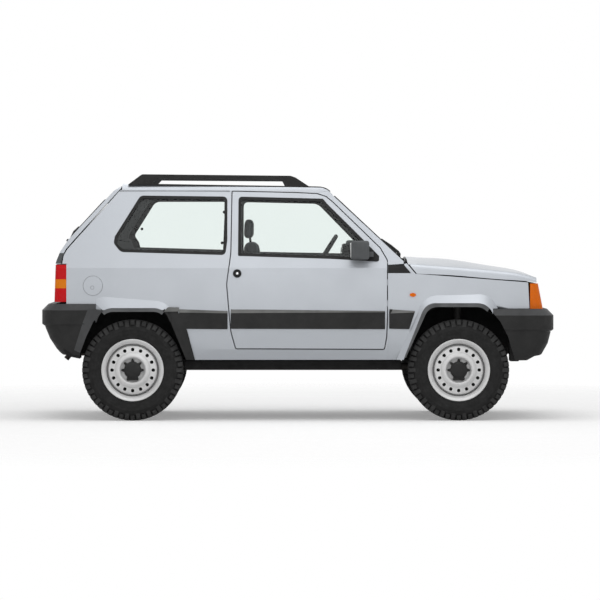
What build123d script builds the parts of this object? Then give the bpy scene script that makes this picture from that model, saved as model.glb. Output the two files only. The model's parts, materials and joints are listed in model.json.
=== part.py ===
from build123d import *
from math import cos, pi, sin
import os

os.makedirs("parts", exist_ok=True)

# Driving dimensions in millimetres: X forward, Y to the left, Z up from the road.
LENGTH = 3408
WHEELBASE = 2170
REAR_AXLE_X = -1100
TRACK = 1260
TYRE_R = 336
TYRE_WIDTH = 184
RIM_SEAT_R = 190
BODY_HALF_WIDTH = 730
ROOF_HALF_WIDTH = 594
ROOF_Z = 1566
FRONT_TAPER = 55
REAR_TAPER = 30
SILL_Z = 405
FLOOR_Z = 365
BELT_Z = 1015
BUMPER_HALF_WIDTH = 744
FLARE_HALF_WIDTH = 741

# Thicknesses and clearances.
SHUT_GAP = 7
SEAT_FIT = 0.3
WALL = 60
WING_SHEET = 16
SEAL = 20
FLARE_SINK = 12
DOOR_SKIN = 22
PIN_R = 2.8
CAP_LOBES = 7
GRILLE_DEPTH = 14
GRILLE_SLOTS = 6
GRILLE_PITCH = 22
SPINDLE_R = 22

# Places that follow from the driving dimensions.
FRONT_AXLE_X = REAR_AXLE_X + WHEELBASE
HALF_TRACK = TRACK / 2
NOSE_X = LENGTH / 2
TAIL_X = -LENGTH / 2
HINGE_X = 591 + SHUT_GAP / 2
HINGE_Y = BODY_HALF_WIDTH - 2.5
POST_INSET = WING_SHEET + SEAT_FIT
KING_LOW = Vector(FRONT_AXLE_X, HALF_TRACK - 38, TYRE_R - 100)
KING_TOP = Vector(FRONT_AXLE_X, HALF_TRACK - 160, TYRE_R + 550)
KING_AXIS = (KING_TOP - KING_LOW).normalized()
BALL_DROP = 6
COLUMN_TOP = Vector(176, 345, 1073)
COLUMN_AXIS = Vector(0.848, 0, -0.53)


def side_view(points, radius=0.0):
    """Closed outline seen from the side, X along and Z up, with rounded corners."""
    return make_face(FilletPolyline(*[(x, 0, z) for x, z in points], radius=radius, close=True))


def across(outline, y_from, y_to):
    """Side outline carried across the car from one Y to another."""
    return extrude(Pos(0, y_from, 0) * outline, amount=y_to - y_from, dir=(0, 1, 0))


def block(x_from, x_to, y_from, y_to, z_from, z_to):
    """Box between two corners."""
    size = Box(x_to - x_from, y_to - y_from, z_to - z_from)
    return Pos((x_from + x_to) / 2, (y_from + y_to) / 2, (z_from + z_to) / 2) * size


def rod(start, end, radius):
    """Round bar between two points."""
    start = Vector(*start)
    run = Vector(*end) - start
    return Plane(start, z_dir=run) * Cylinder(
        radius, run.length, align=(Align.CENTER, Align.CENTER, Align.MIN)
    )


def other_side(shape):
    """The same piece on the right-hand side."""
    return mirror(shape, Plane.XZ)


def both_sides(shape):
    """A left-hand piece together with its right-hand twin."""
    return Compound(children=[*shape.solids(), *other_side(shape).solids()])


def save(name, shape):
    """Write one piece."""
    export_step(shape, f"parts/{name}.step")


def save_pair(name, shape):
    """Write a left-hand piece and its right-hand twin."""
    save(f"{name}_left", shape)
    save(f"{name}_right", other_side(shape))


def taper(x):
    """How far the sides draw in toward the two ends of the car."""
    ahead = max(0.0, x - 300) / (NOSE_X - 300)
    behind = max(0.0, -500 - x) / (-500 - TAIL_X)
    return FRONT_TAPER * ahead**2 + REAR_TAPER * behind**2


def cross_section(x, inset):
    """Section through the body at one X: tucked sill, barrelled door, leaning glasshouse."""
    draw_in = taper(x) + inset

    def at(half_width, z):
        return (x, half_width - draw_in, z)

    side = [
        Line(at(BODY_HALF_WIDTH - 40, 300), at(BODY_HALF_WIDTH - 18, SILL_Z)),
        Line(at(BODY_HALF_WIDTH - 18, SILL_Z), at(BODY_HALF_WIDTH - 7, 475)),
        ThreePointArc(
            at(BODY_HALF_WIDTH - 7, 475), at(BODY_HALF_WIDTH, 730), at(BODY_HALF_WIDTH - 4, BELT_Z)
        ),
        Line(at(BODY_HALF_WIDTH - 4, BELT_Z), at(ROOF_HALF_WIDTH, 1520)),
        ThreePointArc(
            at(ROOF_HALF_WIDTH, 1520),
            at(ROOF_HALF_WIDTH - 17, ROOF_Z - 4),
            at(ROOF_HALF_WIDTH - 54, ROOF_Z + 22),
        ),
        Line(at(ROOF_HALF_WIDTH - 54, ROOF_Z + 22), at(ROOF_HALF_WIDTH - 54, 1700)),
        Line(at(ROOF_HALF_WIDTH - 54, 1700), (x, 0, 1700)),
        Line((x, 0, 300), at(BODY_HALF_WIDTH - 40, 300)),
    ]
    half = make_face(side + [Line((x, 0, 1700), (x, 0, 300))])
    return half + mirror(half, Plane.XZ)


def side_volume(inset):
    """Everything between the two body sides, drawn in by an inset."""
    stations = (TAIL_X - 20, -1100, -500, 300, 800, 1250, NOSE_X + 20)
    return loft([cross_section(x, inset) for x in stations])


INSETS = {
    inset: side_volume(inset)
    for inset in (-12, -SEAT_FIT, 0, 2, 10, WING_SHEET, POST_INSET, 20, DOOR_SKIN, 32, WALL, WALL + SEAT_FIT)
}


def panel(outline, outer, inner):
    """Left-hand piece of wall inside an outline, between two insets from the skin."""
    return (across(outline, 250, 900) & INSETS[outer]) - INSETS[inner]


# Outlines in the side view.
DOOR = [
    (-436, 1524), (-23, 1515), (126, 1508), (187, 1488), (232, 1451), (544, 1147), (591, 1066),
    (591, 700), (586, 560), (572, 478), (-412, 482), (-444, 599), (-462, 803), (-471, 910),
    (-443, 1114),
]
DOOR_RADII = [6, 0, 20, 20, 20, 40, 40, 0, 0, 10, 10, 0, 0, 150, 150]
DOOR_WINDOW = [
    (-396, 1491), (167, 1477), (195, 1443), (407, 1232), (540, 1094), (538, 1058), (212, 1076),
    (-399, 1095),
]
DOOR_WINDOW_RADII = [25, 18, 18, 0, 12, 12, 0, 8]
QUARTER_WINDOW = [
    (-1050, 1498), (-470, 1491), (-470, 1200), (-483, 1101), (-1180, 1121), (-1226, 1180), (-1219, 1225),
]
QUARTER_WINDOW_RADII = [40, 30, 0, 30, 50, 30, 0]
REAR_ARCH = [(-1470, 300), (-1309, 750), (-885, 750), (-700, 300)]
FRONT_ARCH = [(660, 300), (850, 782), (1262, 782), (1490, 300)]
ARCH_RADII = [0, 110, 110, 0]
FRONT_FLARE = [(612, 300), (836, 861), (1288, 861), (1545, 300)]
REAR_FLARE = [(-1560, 300), (-1368, 846), (-838, 846), (-600, 300)]
FLARE_RADII = [0, 130, 130, 0]
BODY_SIDE = [
    (-1539, 777.3), (-1539, 1044), (-1567, 1044), (-1557, 1100), (-1535, 1139), (-1480, 1202),
    (-1290, 1414), (-1184, 1535), (-436, 1530), (-23, 1521), (126, 1514), (200, 1530), (702, 1060),
    (702, 1043), (597.7, 1037), (597.7, SILL_Z), (-1343, SILL_Z), (-1343, 777.3),
]
HINGE_POST = [(597, 1037), (650, 1037), (650, SILL_Z), (597, SILL_Z)]
WING = [
    (598, SILL_Z), (598, 981), (751, 981), (706, 1034), (706, 1042), (722, 1046), (781, 977),
    (1532, 919), (1541, 745), (1295.5, 745), (1295.5, SILL_Z),
]
WING_RADII = [0, 0, 0, 0, 0, 0, 0, 6, 4, 0, 0]
VENT = [(598, 981.5), (598, 1036), (703, 1034), (749, 981.5)]


def outline(points, radii, grow=0.0):
    """A rounded outline, grown or shrunk all round."""
    shape = side_view(points, radii)
    return offset(shape, grow, kind=Kind.INTERSECTION) if grow else shape


def arch(points):
    """Room for a wheel through the body side."""
    return across(side_view(points, ARCH_RADII), 250, 900)


def flare(root_outline, arch_outline, axle_x, turn, keep):
    """Lip that swells out of the skin toward the edge of a wheel arch."""
    root_y = BODY_HALF_WIDTH - taper(axle_x) - FLARE_SINK
    root = side_view([(x - axle_x, z) for x, z in root_outline], FLARE_RADII)
    edge = Pos(0, FLARE_HALF_WIDTH, 0) * side_view(arch_outline, ARCH_RADII)
    lip = loft([Pos(axle_x, root_y, 0) * Rot(0, 0, turn) * root, edge], ruled=True)
    lip &= across(side_view(keep), 250, 900)
    return lip - INSETS[WING_SHEET] - arch(arch_outline)


def window_parts(points, radii):
    """Rubber frame and glass of one side window, seated in each other."""
    frame = panel(outline(points, radii, -SEAT_FIT), 2, 20)
    frame -= across(outline(points, radii, -SEAL), 250, 900)
    glass = panel(outline(points, radii, -SEAL - SEAT_FIT), 10, 20)
    glass &= INSETS[10]
    return frame, glass


def hinge_pin(z_from, z_to):
    """Pin in the shut line with the leaf that holds it to the post."""
    pin = rod((HINGE_X, HINGE_Y, z_from), (HINGE_X, HINGE_Y, z_to), PIN_R)
    web = block(HINGE_X - 1.2, HINGE_X + 1.2, HINGE_Y - 34, HINGE_Y, z_from, z_to)
    foot = block(HINGE_X - 1.2, 605, HINGE_Y - 40, HINGE_Y - 28, z_from, z_to)
    return pin + web + foot


def body_side():
    """Side of the car behind the wing: pillars, quarter, sill and the door's hinge post."""
    wall = panel(side_view(BODY_SIDE), 0, WALL)
    wall -= across(outline(DOOR, DOOR_RADII, SHUT_GAP), 250, 900)
    wall -= across(outline(QUARTER_WINDOW, QUARTER_WINDOW_RADII), 250, 900)
    wall -= arch(REAR_ARCH)
    keep = [(-1343, 777.3), (-1343, 900), (-700, 900), (-745, 737), (-1300, 737)]
    wall += flare(REAR_FLARE, REAR_ARCH, REAR_AXLE_X, 0, keep)
    wall += panel(side_view(HINGE_POST), POST_INSET, WALL)
    for z_from, z_to in HINGE_HEIGHTS:
        wall += hinge_pin(z_from, z_to)
    wall -= across(windscreen_outline(SEAT_FIT), 0, 900) & INSETS[32]
    return wall


def windscreen_outline(grow=0.0):
    """Thickness of the windscreen seen from the side."""
    glass = side_view([(238, 1494), (694, 1066), (690, 1060), (232, 1489)])
    return offset(glass, grow, kind=Kind.INTERSECTION) if grow else glass


def windscreen():
    """Flat windscreen between the front pillars."""
    return across(windscreen_outline(), -900, 900) & side_volume(32 + SEAT_FIT)


def roof_solid(drop):
    """Crowned block whose top is the roof, lowered by a drop."""
    edge = ROOF_Z - drop
    top = ThreePointArc((-1190, -700, edge), (-1190, 0, edge + 18), (-1190, 700, edge))
    sides = Polyline((-1190, 700, edge), (-1190, 700, 1380), (-1190, -700, 1380), (-1190, -700, edge))
    return extrude(make_face([top, sides]), amount=1420, dir=(1, 0, -0.0155))


def roof_panel():
    """Roof skin with its rolled edges and the header over the windscreen."""
    region = side_view(
        [(-1172, 1535.5), (-436, 1530.5), (-23, 1521.5), (126, 1514.5), (200, 1530.5), (236, 1497.5),
         (262, 1530), (190, 1640), (-1172, 1640)]
    )
    skin = (across(region, -900, 900) & INSETS[0] & roof_solid(0)) - (INSETS[32] & roof_solid(26))
    header = side_view([(90, 1500), (90, 1545), (188, 1543), (237.8, 1494.3), (231.7, 1489.3), (205, 1478)])
    skin += across(header, -900, 900) & INSETS[WALL + SEAT_FIT] & roof_solid(0)
    rear_bow = side_view([(-1172, 1550), (-1172, 1500), (-1120, 1500), (-1090, 1550)])
    skin += across(rear_bow, -900, 900) & INSETS[WALL + SEAT_FIT] & roof_solid(0)
    x, z = TAILGATE_AXIS
    for y in TAILGATE_HINGES:
        skin += rod((x, y - 30, z), (x, y + 30, z), PIN_R)
        skin += block(x, -1165, y - 30, y + 30, z - 1.2, z + 1.2)
    return skin


def door():
    """Door with outer skin, thinner inner box and the window frame."""
    inner_box = panel(outline(DOOR, DOOR_RADII, -DOOR_SKIN), DOOR_SKIN, WALL)
    leaf = panel(outline(DOOR, DOOR_RADII), 0, DOOR_SKIN) + inner_box
    return leaf - across(outline(DOOR_WINDOW, DOOR_WINDOW_RADII), 250, 900)


HINGE_HEIGHTS = ((760, 800), (900, 940))


def moulding(x_from, x_to, front_slant=0.0):
    """Rubbing strip on the body side whose upper edge slopes back to the skin."""
    strip = side_view([(x_from, 612), (x_to - front_slant, 609), (x_to, 730), (x_from, 742)], 3)
    skin_y = BODY_HALF_WIDTH - taper((x_from + x_to) / 2)
    corners = [(x_from, skin_y + 13, 714), (x_from, skin_y - 1, 744), (x_from, skin_y + 13, 760)]
    slope = make_face(Polyline(*corners, close=True))
    strip_solid = (across(strip, 600, 900) & INSETS[-12]) - INSETS[-SEAT_FIT]
    return strip_solid - extrude(slope, amount=x_to - x_from, dir=(1, 0, 0))


def bumper_level(x_end, half_width, corner, z, front):
    """Plan outline of a bumper at one height: square at the inner end, rounded at the corners."""
    inner_end = 900 if front else -900
    points = [(inner_end, -half_width), (x_end, -half_width), (x_end, half_width), (inner_end, half_width)]
    path = FilletPolyline(*[(x, y, z) for x, y in points], radius=[0, corner, corner, 0], close=True)
    return make_face(path)


def bumper_solid(levels, front, inset):
    """Bumper built up from plan outlines, drawn in by an inset."""
    sign = 1 if front else -1
    faces = []
    for z, end, draw_in in levels:
        half = BUMPER_HALF_WIDTH - draw_in - inset
        faces.append(bumper_level(sign * (end - inset), half, 110 - draw_in * 0.4 - inset * 0.6, z, front))
    return loft(faces, ruled=True)


def bumper_back(x_end, front):
    """Open room behind a bumper, inside its top shelf."""
    return extrude(bumper_level(x_end, BUMPER_HALF_WIDTH - 80, 60, 350, front), amount=500, dir=(0, 0, 1))


def front_bumper():
    """Front bumper with bevelled top, step and sloping apron."""
    levels = [
        (400, NOSE_X - 150, 40), (440, NOSE_X - 78, 26), (514, NOSE_X - 37, 14), (594, NOSE_X - 17, 6),
        (606, NOSE_X, 0), (700, NOSE_X, 0), (743, NOSE_X - 42, 18),
    ]
    shell = bumper_solid(levels, True, 0)
    hollow_levels = [(z - 12, end, draw) for z, end, draw in levels]
    shell -= bumper_solid(hollow_levels, True, 14)
    shell -= bumper_back(NOSE_X - 110, True)
    keep = side_view(
        [(1296, 760), (1296, 717), (1345, 658), (1396, 560), (1450, 380), (1800, 380), (1800, 760)]
    )
    shell &= across(keep, -900, 900)
    return shell - block(1500, 1800, -330, 330, 470, 560)


def rear_bumper():
    """Rear bumper, the same build as the front one."""
    end = -TAIL_X
    levels = [
        (415, end - 210, 40), (440, end - 130, 30), (480, end - 95, 22), (546, end - 52, 14),
        (630, end - 18, 5), (644, end, 0), (735, end, 0), (777, end - 42, 18),
    ]
    shell = bumper_solid(levels, False, 0)
    hollow_levels = [(z - 12, reach, draw) for z, reach, draw in levels]
    shell -= bumper_solid(hollow_levels, False, 14)
    shell -= bumper_back(TAIL_X + 110, False)
    keep = side_view(
        [(-1344, 790), (-1344, 742), (-1391, 623), (-1442, 496), (-1460, 380), (-1800, 380), (-1800, 790)]
    )
    return shell & across(keep, -900, 900)


def bonnet_section(x, shoulder, crown, gap, inset):
    """Section through the bonnet: upright flange, rounded shoulder, gentle crown."""
    half = BODY_HALF_WIDTH - 4 - taper(x) - inset
    foot = gap - 3 * inset
    top = ThreePointArc(
        (x, -half + 4, shoulder - inset), (x, 0, crown - inset), (x, half - 4, shoulder - inset)
    )
    rest = Polyline(
        (x, half - 4, shoulder - inset), (x, half, foot), (x, -half, foot), (x, -half + 4, shoulder - inset)
    )
    face = make_face([top, rest])
    corners = face.vertices().sort_by(Axis.Z)[-2:]
    return fillet(corners, 34)


BONNET_STATIONS = [
    (732, 1046, 1094, 984), (950, 1026, 1076, 971), (1210, 1006, 1042, 951), (1421, 986, 1009, 935),
    (1527, 968, 983, 927), (1588, 951, 952, 918),
]


def bonnet_solid(inset):
    """Bonnet as a full block, drawn in by an inset."""
    return loft([bonnet_section(*station, inset) for station in BONNET_STATIONS])


def bonnet():
    """Rear-hinged bonnet with wrapped sides."""
    shell = bonnet_solid(0)
    hollow = bonnet_solid(20) & block(760, 1570, -900, 900, 800, 1200)
    shell -= hollow
    rear_edge = side_view([(700, 1052), (729, 1052), (788, 980), (788, 940), (700, 940)])
    return shell - across(rear_edge, -900, 900)


BONNET_HINGES = (-420, 420)
BONNET_AXIS = (728.5, 1070)
TAILGATE_AXIS = (-1175.5, 1562)
TAILGATE_HINGES = (-380, 380)


def bonnet_hinges():
    """Hinge pins of the bonnet on posts that stand on the scuttle."""
    x, z = BONNET_AXIS
    posts = [block(x - 4, x + 1, y - 30, y + 30, 1000, z) for y in BONNET_HINGES]
    pins = [rod((x, y - 30, z), (x, y + 30, z), PIN_R) for y in BONNET_HINGES]
    return posts + pins


def tyre():
    """Tyre about the Y axis, outer face toward +Y, out to its tread blocks."""
    half = TYRE_WIDTH / 2
    section = [
        (RIM_SEAT_R + SEAT_FIT, -69), (208, -75), (258, -half), (312, -half + 6), (TYRE_R, -half + 24),
        (TYRE_R, half - 24), (312, half - 6), (258, half), (208, 75), (RIM_SEAT_R + SEAT_FIT, 69),
    ]
    face = make_face(Polyline(*[(r, w, 0) for r, w in section], close=True))
    return revolve(face, Axis.Y)


def rim():
    """Steel wheel: rim, pierced disc, bowl and hub with a blind bore for the spindle."""
    barrel = [
        (207, 84), (207, 77), (190, 70), (190, -70), (207, -77), (207, -84), (199, -84), (183, -74),
        (183, 74), (199, 84),
    ]
    disc = [
        (184, 38), (170, 40), (150, 54), (126, 54), (112, 64), (92, 70), (80, 66), (66, 52), (30, 52),
        (30, -14), (48, -14), (48, 40), (66, 42), (84, 56), (106, 54), (122, 44), (150, 44), (166, 30),
        (184, 28),
    ]
    wheel = revolve(make_face(Polyline(*[(r, w, 0) for r, w in barrel], close=True)), Axis.Y)
    wheel += revolve(make_face(Polyline(*[(r, w, 0) for r, w in disc], close=True)), Axis.Y)
    wheel += rod((0, -14, 0), (0, 58, 0), 31)
    for step in range(16):
        angle = 2 * pi * step / 16
        x, z = 137 * cos(angle), 137 * sin(angle)
        wheel -= rod((x, 20, z), (x, 70, z), 10)
    cap = rod((0, 50, 0), (0, 74, 0), 58)
    for lobe in range(CAP_LOBES):
        angle = 2 * pi * lobe / CAP_LOBES
        x, z = 58 * sin(angle), 58 * cos(angle)
        cap += rod((x, 50, z), (x, 74, z), 19)
    return wheel + cap - rod((0, -20, 0), (0, 36, 0), SPINDLE_R + SEAT_FIT)


def place_wheel(shape, axle_x):
    """A wheel piece on the left end of an axle."""
    return Pos(axle_x, HALF_TRACK, TYRE_R) * shape


def hub_and_drum(axle_x):
    """Spindle and brake drum behind a left-hand wheel."""
    spindle = rod((axle_x, HALF_TRACK - 70, TYRE_R), (axle_x, HALF_TRACK + 28, TYRE_R), SPINDLE_R)
    return spindle + rod((axle_x, HALF_TRACK - 48, TYRE_R), (axle_x, HALF_TRACK - 20, TYRE_R), 97)


def knuckle():
    """Steering knuckle with spindle, ball seat and strut leaning in to the tower."""
    upright = block(
        FRONT_AXLE_X - 32, FRONT_AXLE_X + 32, HALF_TRACK - 92, HALF_TRACK - 44, TYRE_R - 88, TYRE_R + 96
    )
    strut_foot = (FRONT_AXLE_X, HALF_TRACK - 134, TYRE_R + 84)
    bracket = block(
        FRONT_AXLE_X - 20, FRONT_AXLE_X + 20, HALF_TRACK - 140, HALF_TRACK - 60, TYRE_R + 60, TYRE_R + 96
    )
    strut = rod(strut_foot, KING_TOP - KING_AXIS * 50, 24)
    strut += rod(KING_TOP - KING_AXIS * 75, KING_TOP - KING_AXIS * 5, 24)
    ball = rod(KING_LOW - KING_AXIS * BALL_DROP, KING_LOW + KING_AXIS * 24, 14)
    arm = block(FRONT_AXLE_X - 130, FRONT_AXLE_X, HALF_TRACK - 90, HALF_TRACK - 70, TYRE_R - 30, TYRE_R - 8)
    return hub_and_drum(FRONT_AXLE_X) + upright + bracket + strut + ball + arm


def lower_arm():
    """Left lower arm with the cup under the knuckle's ball and the hanger up to the inner wing."""
    pivot_x = FRONT_AXLE_X - 130
    cup_top = KING_LOW - KING_AXIS * (BALL_DROP + SEAT_FIT)
    cup_foot = cup_top - KING_AXIS * 42
    arm = rod((pivot_x, 310, 290), cup_foot + KING_AXIS * 16, 15)
    post = block(pivot_x - 30, pivot_x + 30, 290, 330, 272, 380)
    hanger = block(pivot_x - 30, pivot_x + 30, 336, 352, 380, 470 - SEAT_FIT)
    return arm + rod(cup_foot, cup_top, 22) + post + hanger


def front_suspension():
    """Lower arms and the cross-member that carries them."""
    pivot_x = FRONT_AXLE_X - 130
    beam = block(pivot_x - 40, pivot_x + 40, -352, 352, 368, 394)
    left = lower_arm()
    return beam + left + other_side(left)


def rear_axle():
    """Live axle with its differential, brake drums and leaf springs."""
    axle = rod((REAR_AXLE_X, -HALF_TRACK + 60, TYRE_R), (REAR_AXLE_X, HALF_TRACK - 60, TYRE_R), 36)
    axle += Pos(REAR_AXLE_X, 0, TYRE_R) * Sphere(92)
    drums = hub_and_drum(REAR_AXLE_X)
    axle += drums
    axle += other_side(drums)
    leaf = side_view(
        [(-1500, 480), (-1300, 416), (-1100, 392), (-900, 416), (-700, 480), (-700, 462), (-900, 396),
         (-1100, 366), (-1300, 396), (-1500, 462)]
    )
    for y in (-455, 395):
        axle += across(leaf, y, y + 60)
    return axle


def floor_pan():
    """Floor, heel board, boot floor, wheel tubs, spring hangers and rear panel."""
    inside = INSETS[WALL + SEAT_FIT]
    front = block(-640, 636, -800, 800, FLOOR_Z, FLOOR_Z + 30) & inside
    tunnel = across(side_view([(-640, 390), (636, 390), (636, 470), (-640, 450)]), -90, 90)
    heel = block(-640, -620, -800, 800, FLOOR_Z, 600) & inside
    boot = block(-1560, -620, -800, 800, 580, 600) & inside
    rear = block(-1590, -1560, -800, 800, 480, 764.5) & INSETS[WALL + SEAT_FIT]
    pan = front + tunnel + heel + boot + rear
    room = side_view([(-1470, 300), (-1400, 780), (-800, 780), (-705, 300)], [0, 90, 90, 0])
    for side in (-1, 1):
        pan += block(-1490, -690, min(side * 460, side * 800), max(side * 460, side * 800), 440, 800) & inside
        pan -= across(room, min(side * 475, side * 860), max(side * 475, side * 860))
        for x in (-1500, -700):
            pan += block(x - 20, x + 20, side * 425 - 34, side * 425 + 34, 480 + SEAT_FIT, 590)
    return pan


def arch_flange():
    """Black edge along the front of the rear wheel arch."""
    band = side_view([(-868, 735), (-801, 732), (-738, 606), (-685, SILL_Z), (-764, SILL_Z), (-839, 618)])
    flange = (across(band, 600, 900) & INSETS[-12]) - INSETS[-SEAT_FIT]
    return flange - arch(REAR_ARCH)


def wiper():
    """Single windscreen wiper: pivot on the scuttle, cranked arm and blade."""
    arm = side_view(
        [(698, 1066), (706, 1071), (703, 1084), (706, 1100), (698, 1110), (578, 1202), (571, 1187),
         (692, 1100), (692, 1084)]
    )
    blade = side_view([(560, 1206), (675, 1098), (668, 1091.2), (554, 1198.2)])
    pivot = rod((701.2, -14, 1060.2), (708, -14, 1068), 9)
    return across(arm, -20, -6) + across(blade, -9, 3) + pivot


def front_wing():
    """Front wing: sheet from the door to the lamp, with the wheel arch cut out."""
    sheet = panel(outline(WING, WING_RADII), 0, WING_SHEET) - arch(FRONT_ARCH)
    keep = [(602, SILL_Z), (602, 900), (1400, 900), (1370, 746), (1295.5, 746), (1295.5, SILL_Z)]
    return sheet + flare(FRONT_FLARE, FRONT_ARCH, FRONT_AXLE_X, -2.5, keep)


def engine_bay():
    """Bulkhead, scuttle, inner wings with strut towers, slam panel and front cross-member."""
    inside = INSETS[WALL + SEAT_FIT]
    bay = block(638, 650, -800, 800, FLOOR_Z, 985) & inside
    scuttle = side_view(
        [(638, 970), (638, 1008), (690.2, 1059.8), (694.2, 1065.8), (712, 1050), (724, 1012), (745, 1000),
         (745, 980)]
    )
    bay += across(scuttle, -640, 640)
    for side in (-1, 1):
        wing_y = sorted((side * 340, side * 352))
        bay += across(side_view([(645, 520), (645, 975), (1560, 880), (1560, 470), (900, 470)]), *wing_y)
        tower_y = sorted((side * 345, side * 560))
        tower = across(side_view([(950, 790), (950, 900), (1190, 900), (1190, 790)]), *tower_y)
        room = side_view([(962, 700), (962, 887.8), (1178, 887.8), (1178, 700)])
        tower -= across(room, *sorted((side * 353, side * 700)))
        bay += tower
    bay += block(1520, 1575, -605, 605, 850, 905)
    bay += block(1500, 1560, -352, 352, 440, 500)
    for solid in bonnet_hinges():
        bay += solid
    return bay


def nose_solid():
    """Front end between the wings, with a sloping face and rounded corners."""
    face = side_view([(1300, 743.3), (1633, 743.3), (1600, 912), (1300, 912)])
    solid = across(face, -900, 900) & INSETS[0]
    corners = solid.edges().filter_by(lambda e: abs(e.center().Y) > 500 and e.center().X > 1560)
    upright = [e for e in corners if abs(e.tangent_at(0.5).Z) > 0.9]
    return fillet(upright, 40)


NOSE = nose_solid()


def nose_piece(y_from, y_to, x_from):
    """Slice of the front end between two Y values."""
    return NOSE & block(x_from, 1700, y_from, y_to, 700, 950)


def grille():
    """Black grille between the lamps with level slats."""
    face = nose_piece(-430, 430, 1575.5)
    front = NOSE - Pos(-GRILLE_DEPTH, 0, 0) * NOSE
    for step in range(GRILLE_SLOTS):
        z = 765 + step * GRILLE_PITCH
        face -= front & block(1500, 1700, -410, 410, z, z + GRILLE_PITCH * 0.6)
    return face


def tail_lamp():
    """Upright lamp that wraps the rear corner."""
    face = side_view([(-1539.5, 790), (-1539.5, 1037), (-1612, 1037), (-1620, 790)])
    lamp = across(face, 560, 900) & INSETS[0]
    upright = [edge for edge in lamp.edges() if abs(edge.tangent_at(0.5).Z) > 0.9]
    corner = [edge for edge in upright if edge.center().X < -1590 and edge.center().Y > 640]
    return fillet(corner, 22)


TAILGATE_OUTER = [
    (-1179, 1560), (-1226, 1531), (-1290, 1463), (-1459, 1280), (-1531, 1200), (-1582, 1124), (-1603, 1071),
    (-1612, 1044),
]
TAILGATE_INNER = [
    (-1575, 1044), (-1565, 1100), (-1543, 1142), (-1487, 1206), (-1297, 1419), (-1179, 1548),
]


def tailgate_window(grow):
    """Opening of the rear window, cut square to the slope."""
    slope = Plane((-1392, 0, 1352), x_dir=(0, 1, 0), z_dir=(-0.735, 0, 0.678))
    opening = RectangleRounded(1110 + 2 * grow, 300 + 2 * grow, 40 + grow)
    return slope * (Pos(0, 0, -60) * extrude(opening, 120))


def tailgate():
    """Top-hinged tailgate: upper band across the car and a lower panel between the lamps."""
    leaf = across(side_view(TAILGATE_OUTER + TAILGATE_INNER), -900, 900) & INSETS[0]
    lower = side_view([(-1612, 1050), (-1618, 790), (-1580, 790), (-1574, 1050)])
    leaf += across(lower, -552, 552)
    return leaf - tailgate_window(0)


def tailgate_glass():
    """Rear window seated in the tailgate."""
    slab = side_view(
        [(-1226, 1527), (-1459, 1276), (-1531, 1196), (-1527, 1192), (-1455, 1272), (-1222, 1523)]
    )
    return across(slab, -900, 900) & tailgate_window(-SEAT_FIT) & INSETS[2]


def roof_rail():
    """Left roof rail: bar on two feet with a base strip along the roof edge."""
    loop = side_view(
        [(-1140, 1566), (-1041, 1640), (-48, 1630), (-15, 1618), (90, 1549)], [0, 30, 30, 20, 0]
    )
    gap = side_view([(-975, 1576), (-940, 1600), (-100, 1594), (-76, 1562)], [0, 8, 8, 0])
    bar = across(loop, 548, 584) - across(gap, 500, 620)
    return bar - roof_solid(-SEAT_FIT)


def mirror_unit():
    """Door mirror: housing, arm and the base in the window corner."""
    base = across(side_view([(466, 1064), (466, 1158), (532, 1090), (532, 1062)], 6), 640, 740)
    base = (base & INSETS[-12]) - side_volume(2 - SEAT_FIT)
    arm = block(452, 500, 690, 790, 1090, 1124)
    housing = fillet(block(349, 470, 745, 860, 1072, 1197).edges(), 16)
    return base + (arm - side_volume(-SEAT_FIT)) + housing


def door_handle():
    """Round push button with its lock barrel, on the skin."""
    x, z = -404, 979
    y = BODY_HALF_WIDTH
    cup = rod((x, y - 5, z), (x, y + 7, z), 28) - rod((x, y + 3, z), (x, y + 20, z), 21)
    return cup + rod((x, y - 4, z), (x, y + 10, z), 11) - INSETS[0]


def side_repeater():
    """Small oval lamp on the wing."""
    lens = Pos(763, 640, 837) * Rot(90, 0, 0) * Ellipse(21, 13)
    return (extrude(lens, amount=250, dir=(0, 1, 0)) & INSETS[-12]) - INSETS[-SEAT_FIT]


def fuel_flap_groove():
    """Shut line round the filler flap, with its finger lock, on the right-hand side."""
    x, z = -1363, 898
    grooves = []
    for place_x, place_z, radius in ((x, z, 66), (x - 4, z - 13, 13)):
        start, end = (place_x, -900, place_z), (place_x, -600, place_z)
        grooves.append(rod(start, end, radius) - rod(start, end, radius - 3))
    return (grooves[0] + grooves[1]) & (INSETS[-12] - INSETS[2])


def padded(points, corner, y_from, y_to, edge):
    """Soft block with a side outline, rounded all round."""
    return fillet(across(side_view(points, corner), y_from, y_to).edges(), edge)


def seat():
    """Left front seat: cushion, backrest and headrest on runners."""
    cushion = padded([(-330, 560), (180, 600), (190, 690), (-260, 660)], 30, 130, 610, 18)
    back = padded([(-250, 620), (-170, 640), (-259, 1202), (-340, 1195)], 25, 130, 610, 18)
    rest = padded([(-300, 1215), (-294, 1348), (-345, 1348), (-357, 1215)], 12, 250, 490, 10)
    posts = rod((-312, 320, 1180), (-322, 320, 1240), 7) + rod((-312, 420, 1180), (-322, 420, 1240), 7)
    runners = block(-300, 160, 170, 200, 395, 620) + block(-300, 160, 540, 570, 395, 620)
    return cushion + back + rest + posts + runners


def rear_seat():
    """Rear bench with a one-piece back."""
    cushion = fillet(block(-1010, -560, -440, 440, 600, 700).edges(), 20)
    back = padded([(-1010, 640), (-920, 640), (-1000, 1150), (-1080, 1150)], 25, -440, 440, 14)
    return cushion + back


def dashboard():
    """Dashboard with a shelf and the steering column."""
    section = [(637.7, 760), (637.7, 960), (560, 1040), (450, 1020), (420, 900), (520, 740)]
    board = across(side_view(section, 12), -590, 590)
    board += rod(COLUMN_TOP + COLUMN_AXIS * 60, COLUMN_TOP + COLUMN_AXIS * 330, 26)
    return board + rod(COLUMN_TOP + COLUMN_AXIS * 12, COLUMN_TOP + COLUMN_AXIS * 90, 9)


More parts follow.
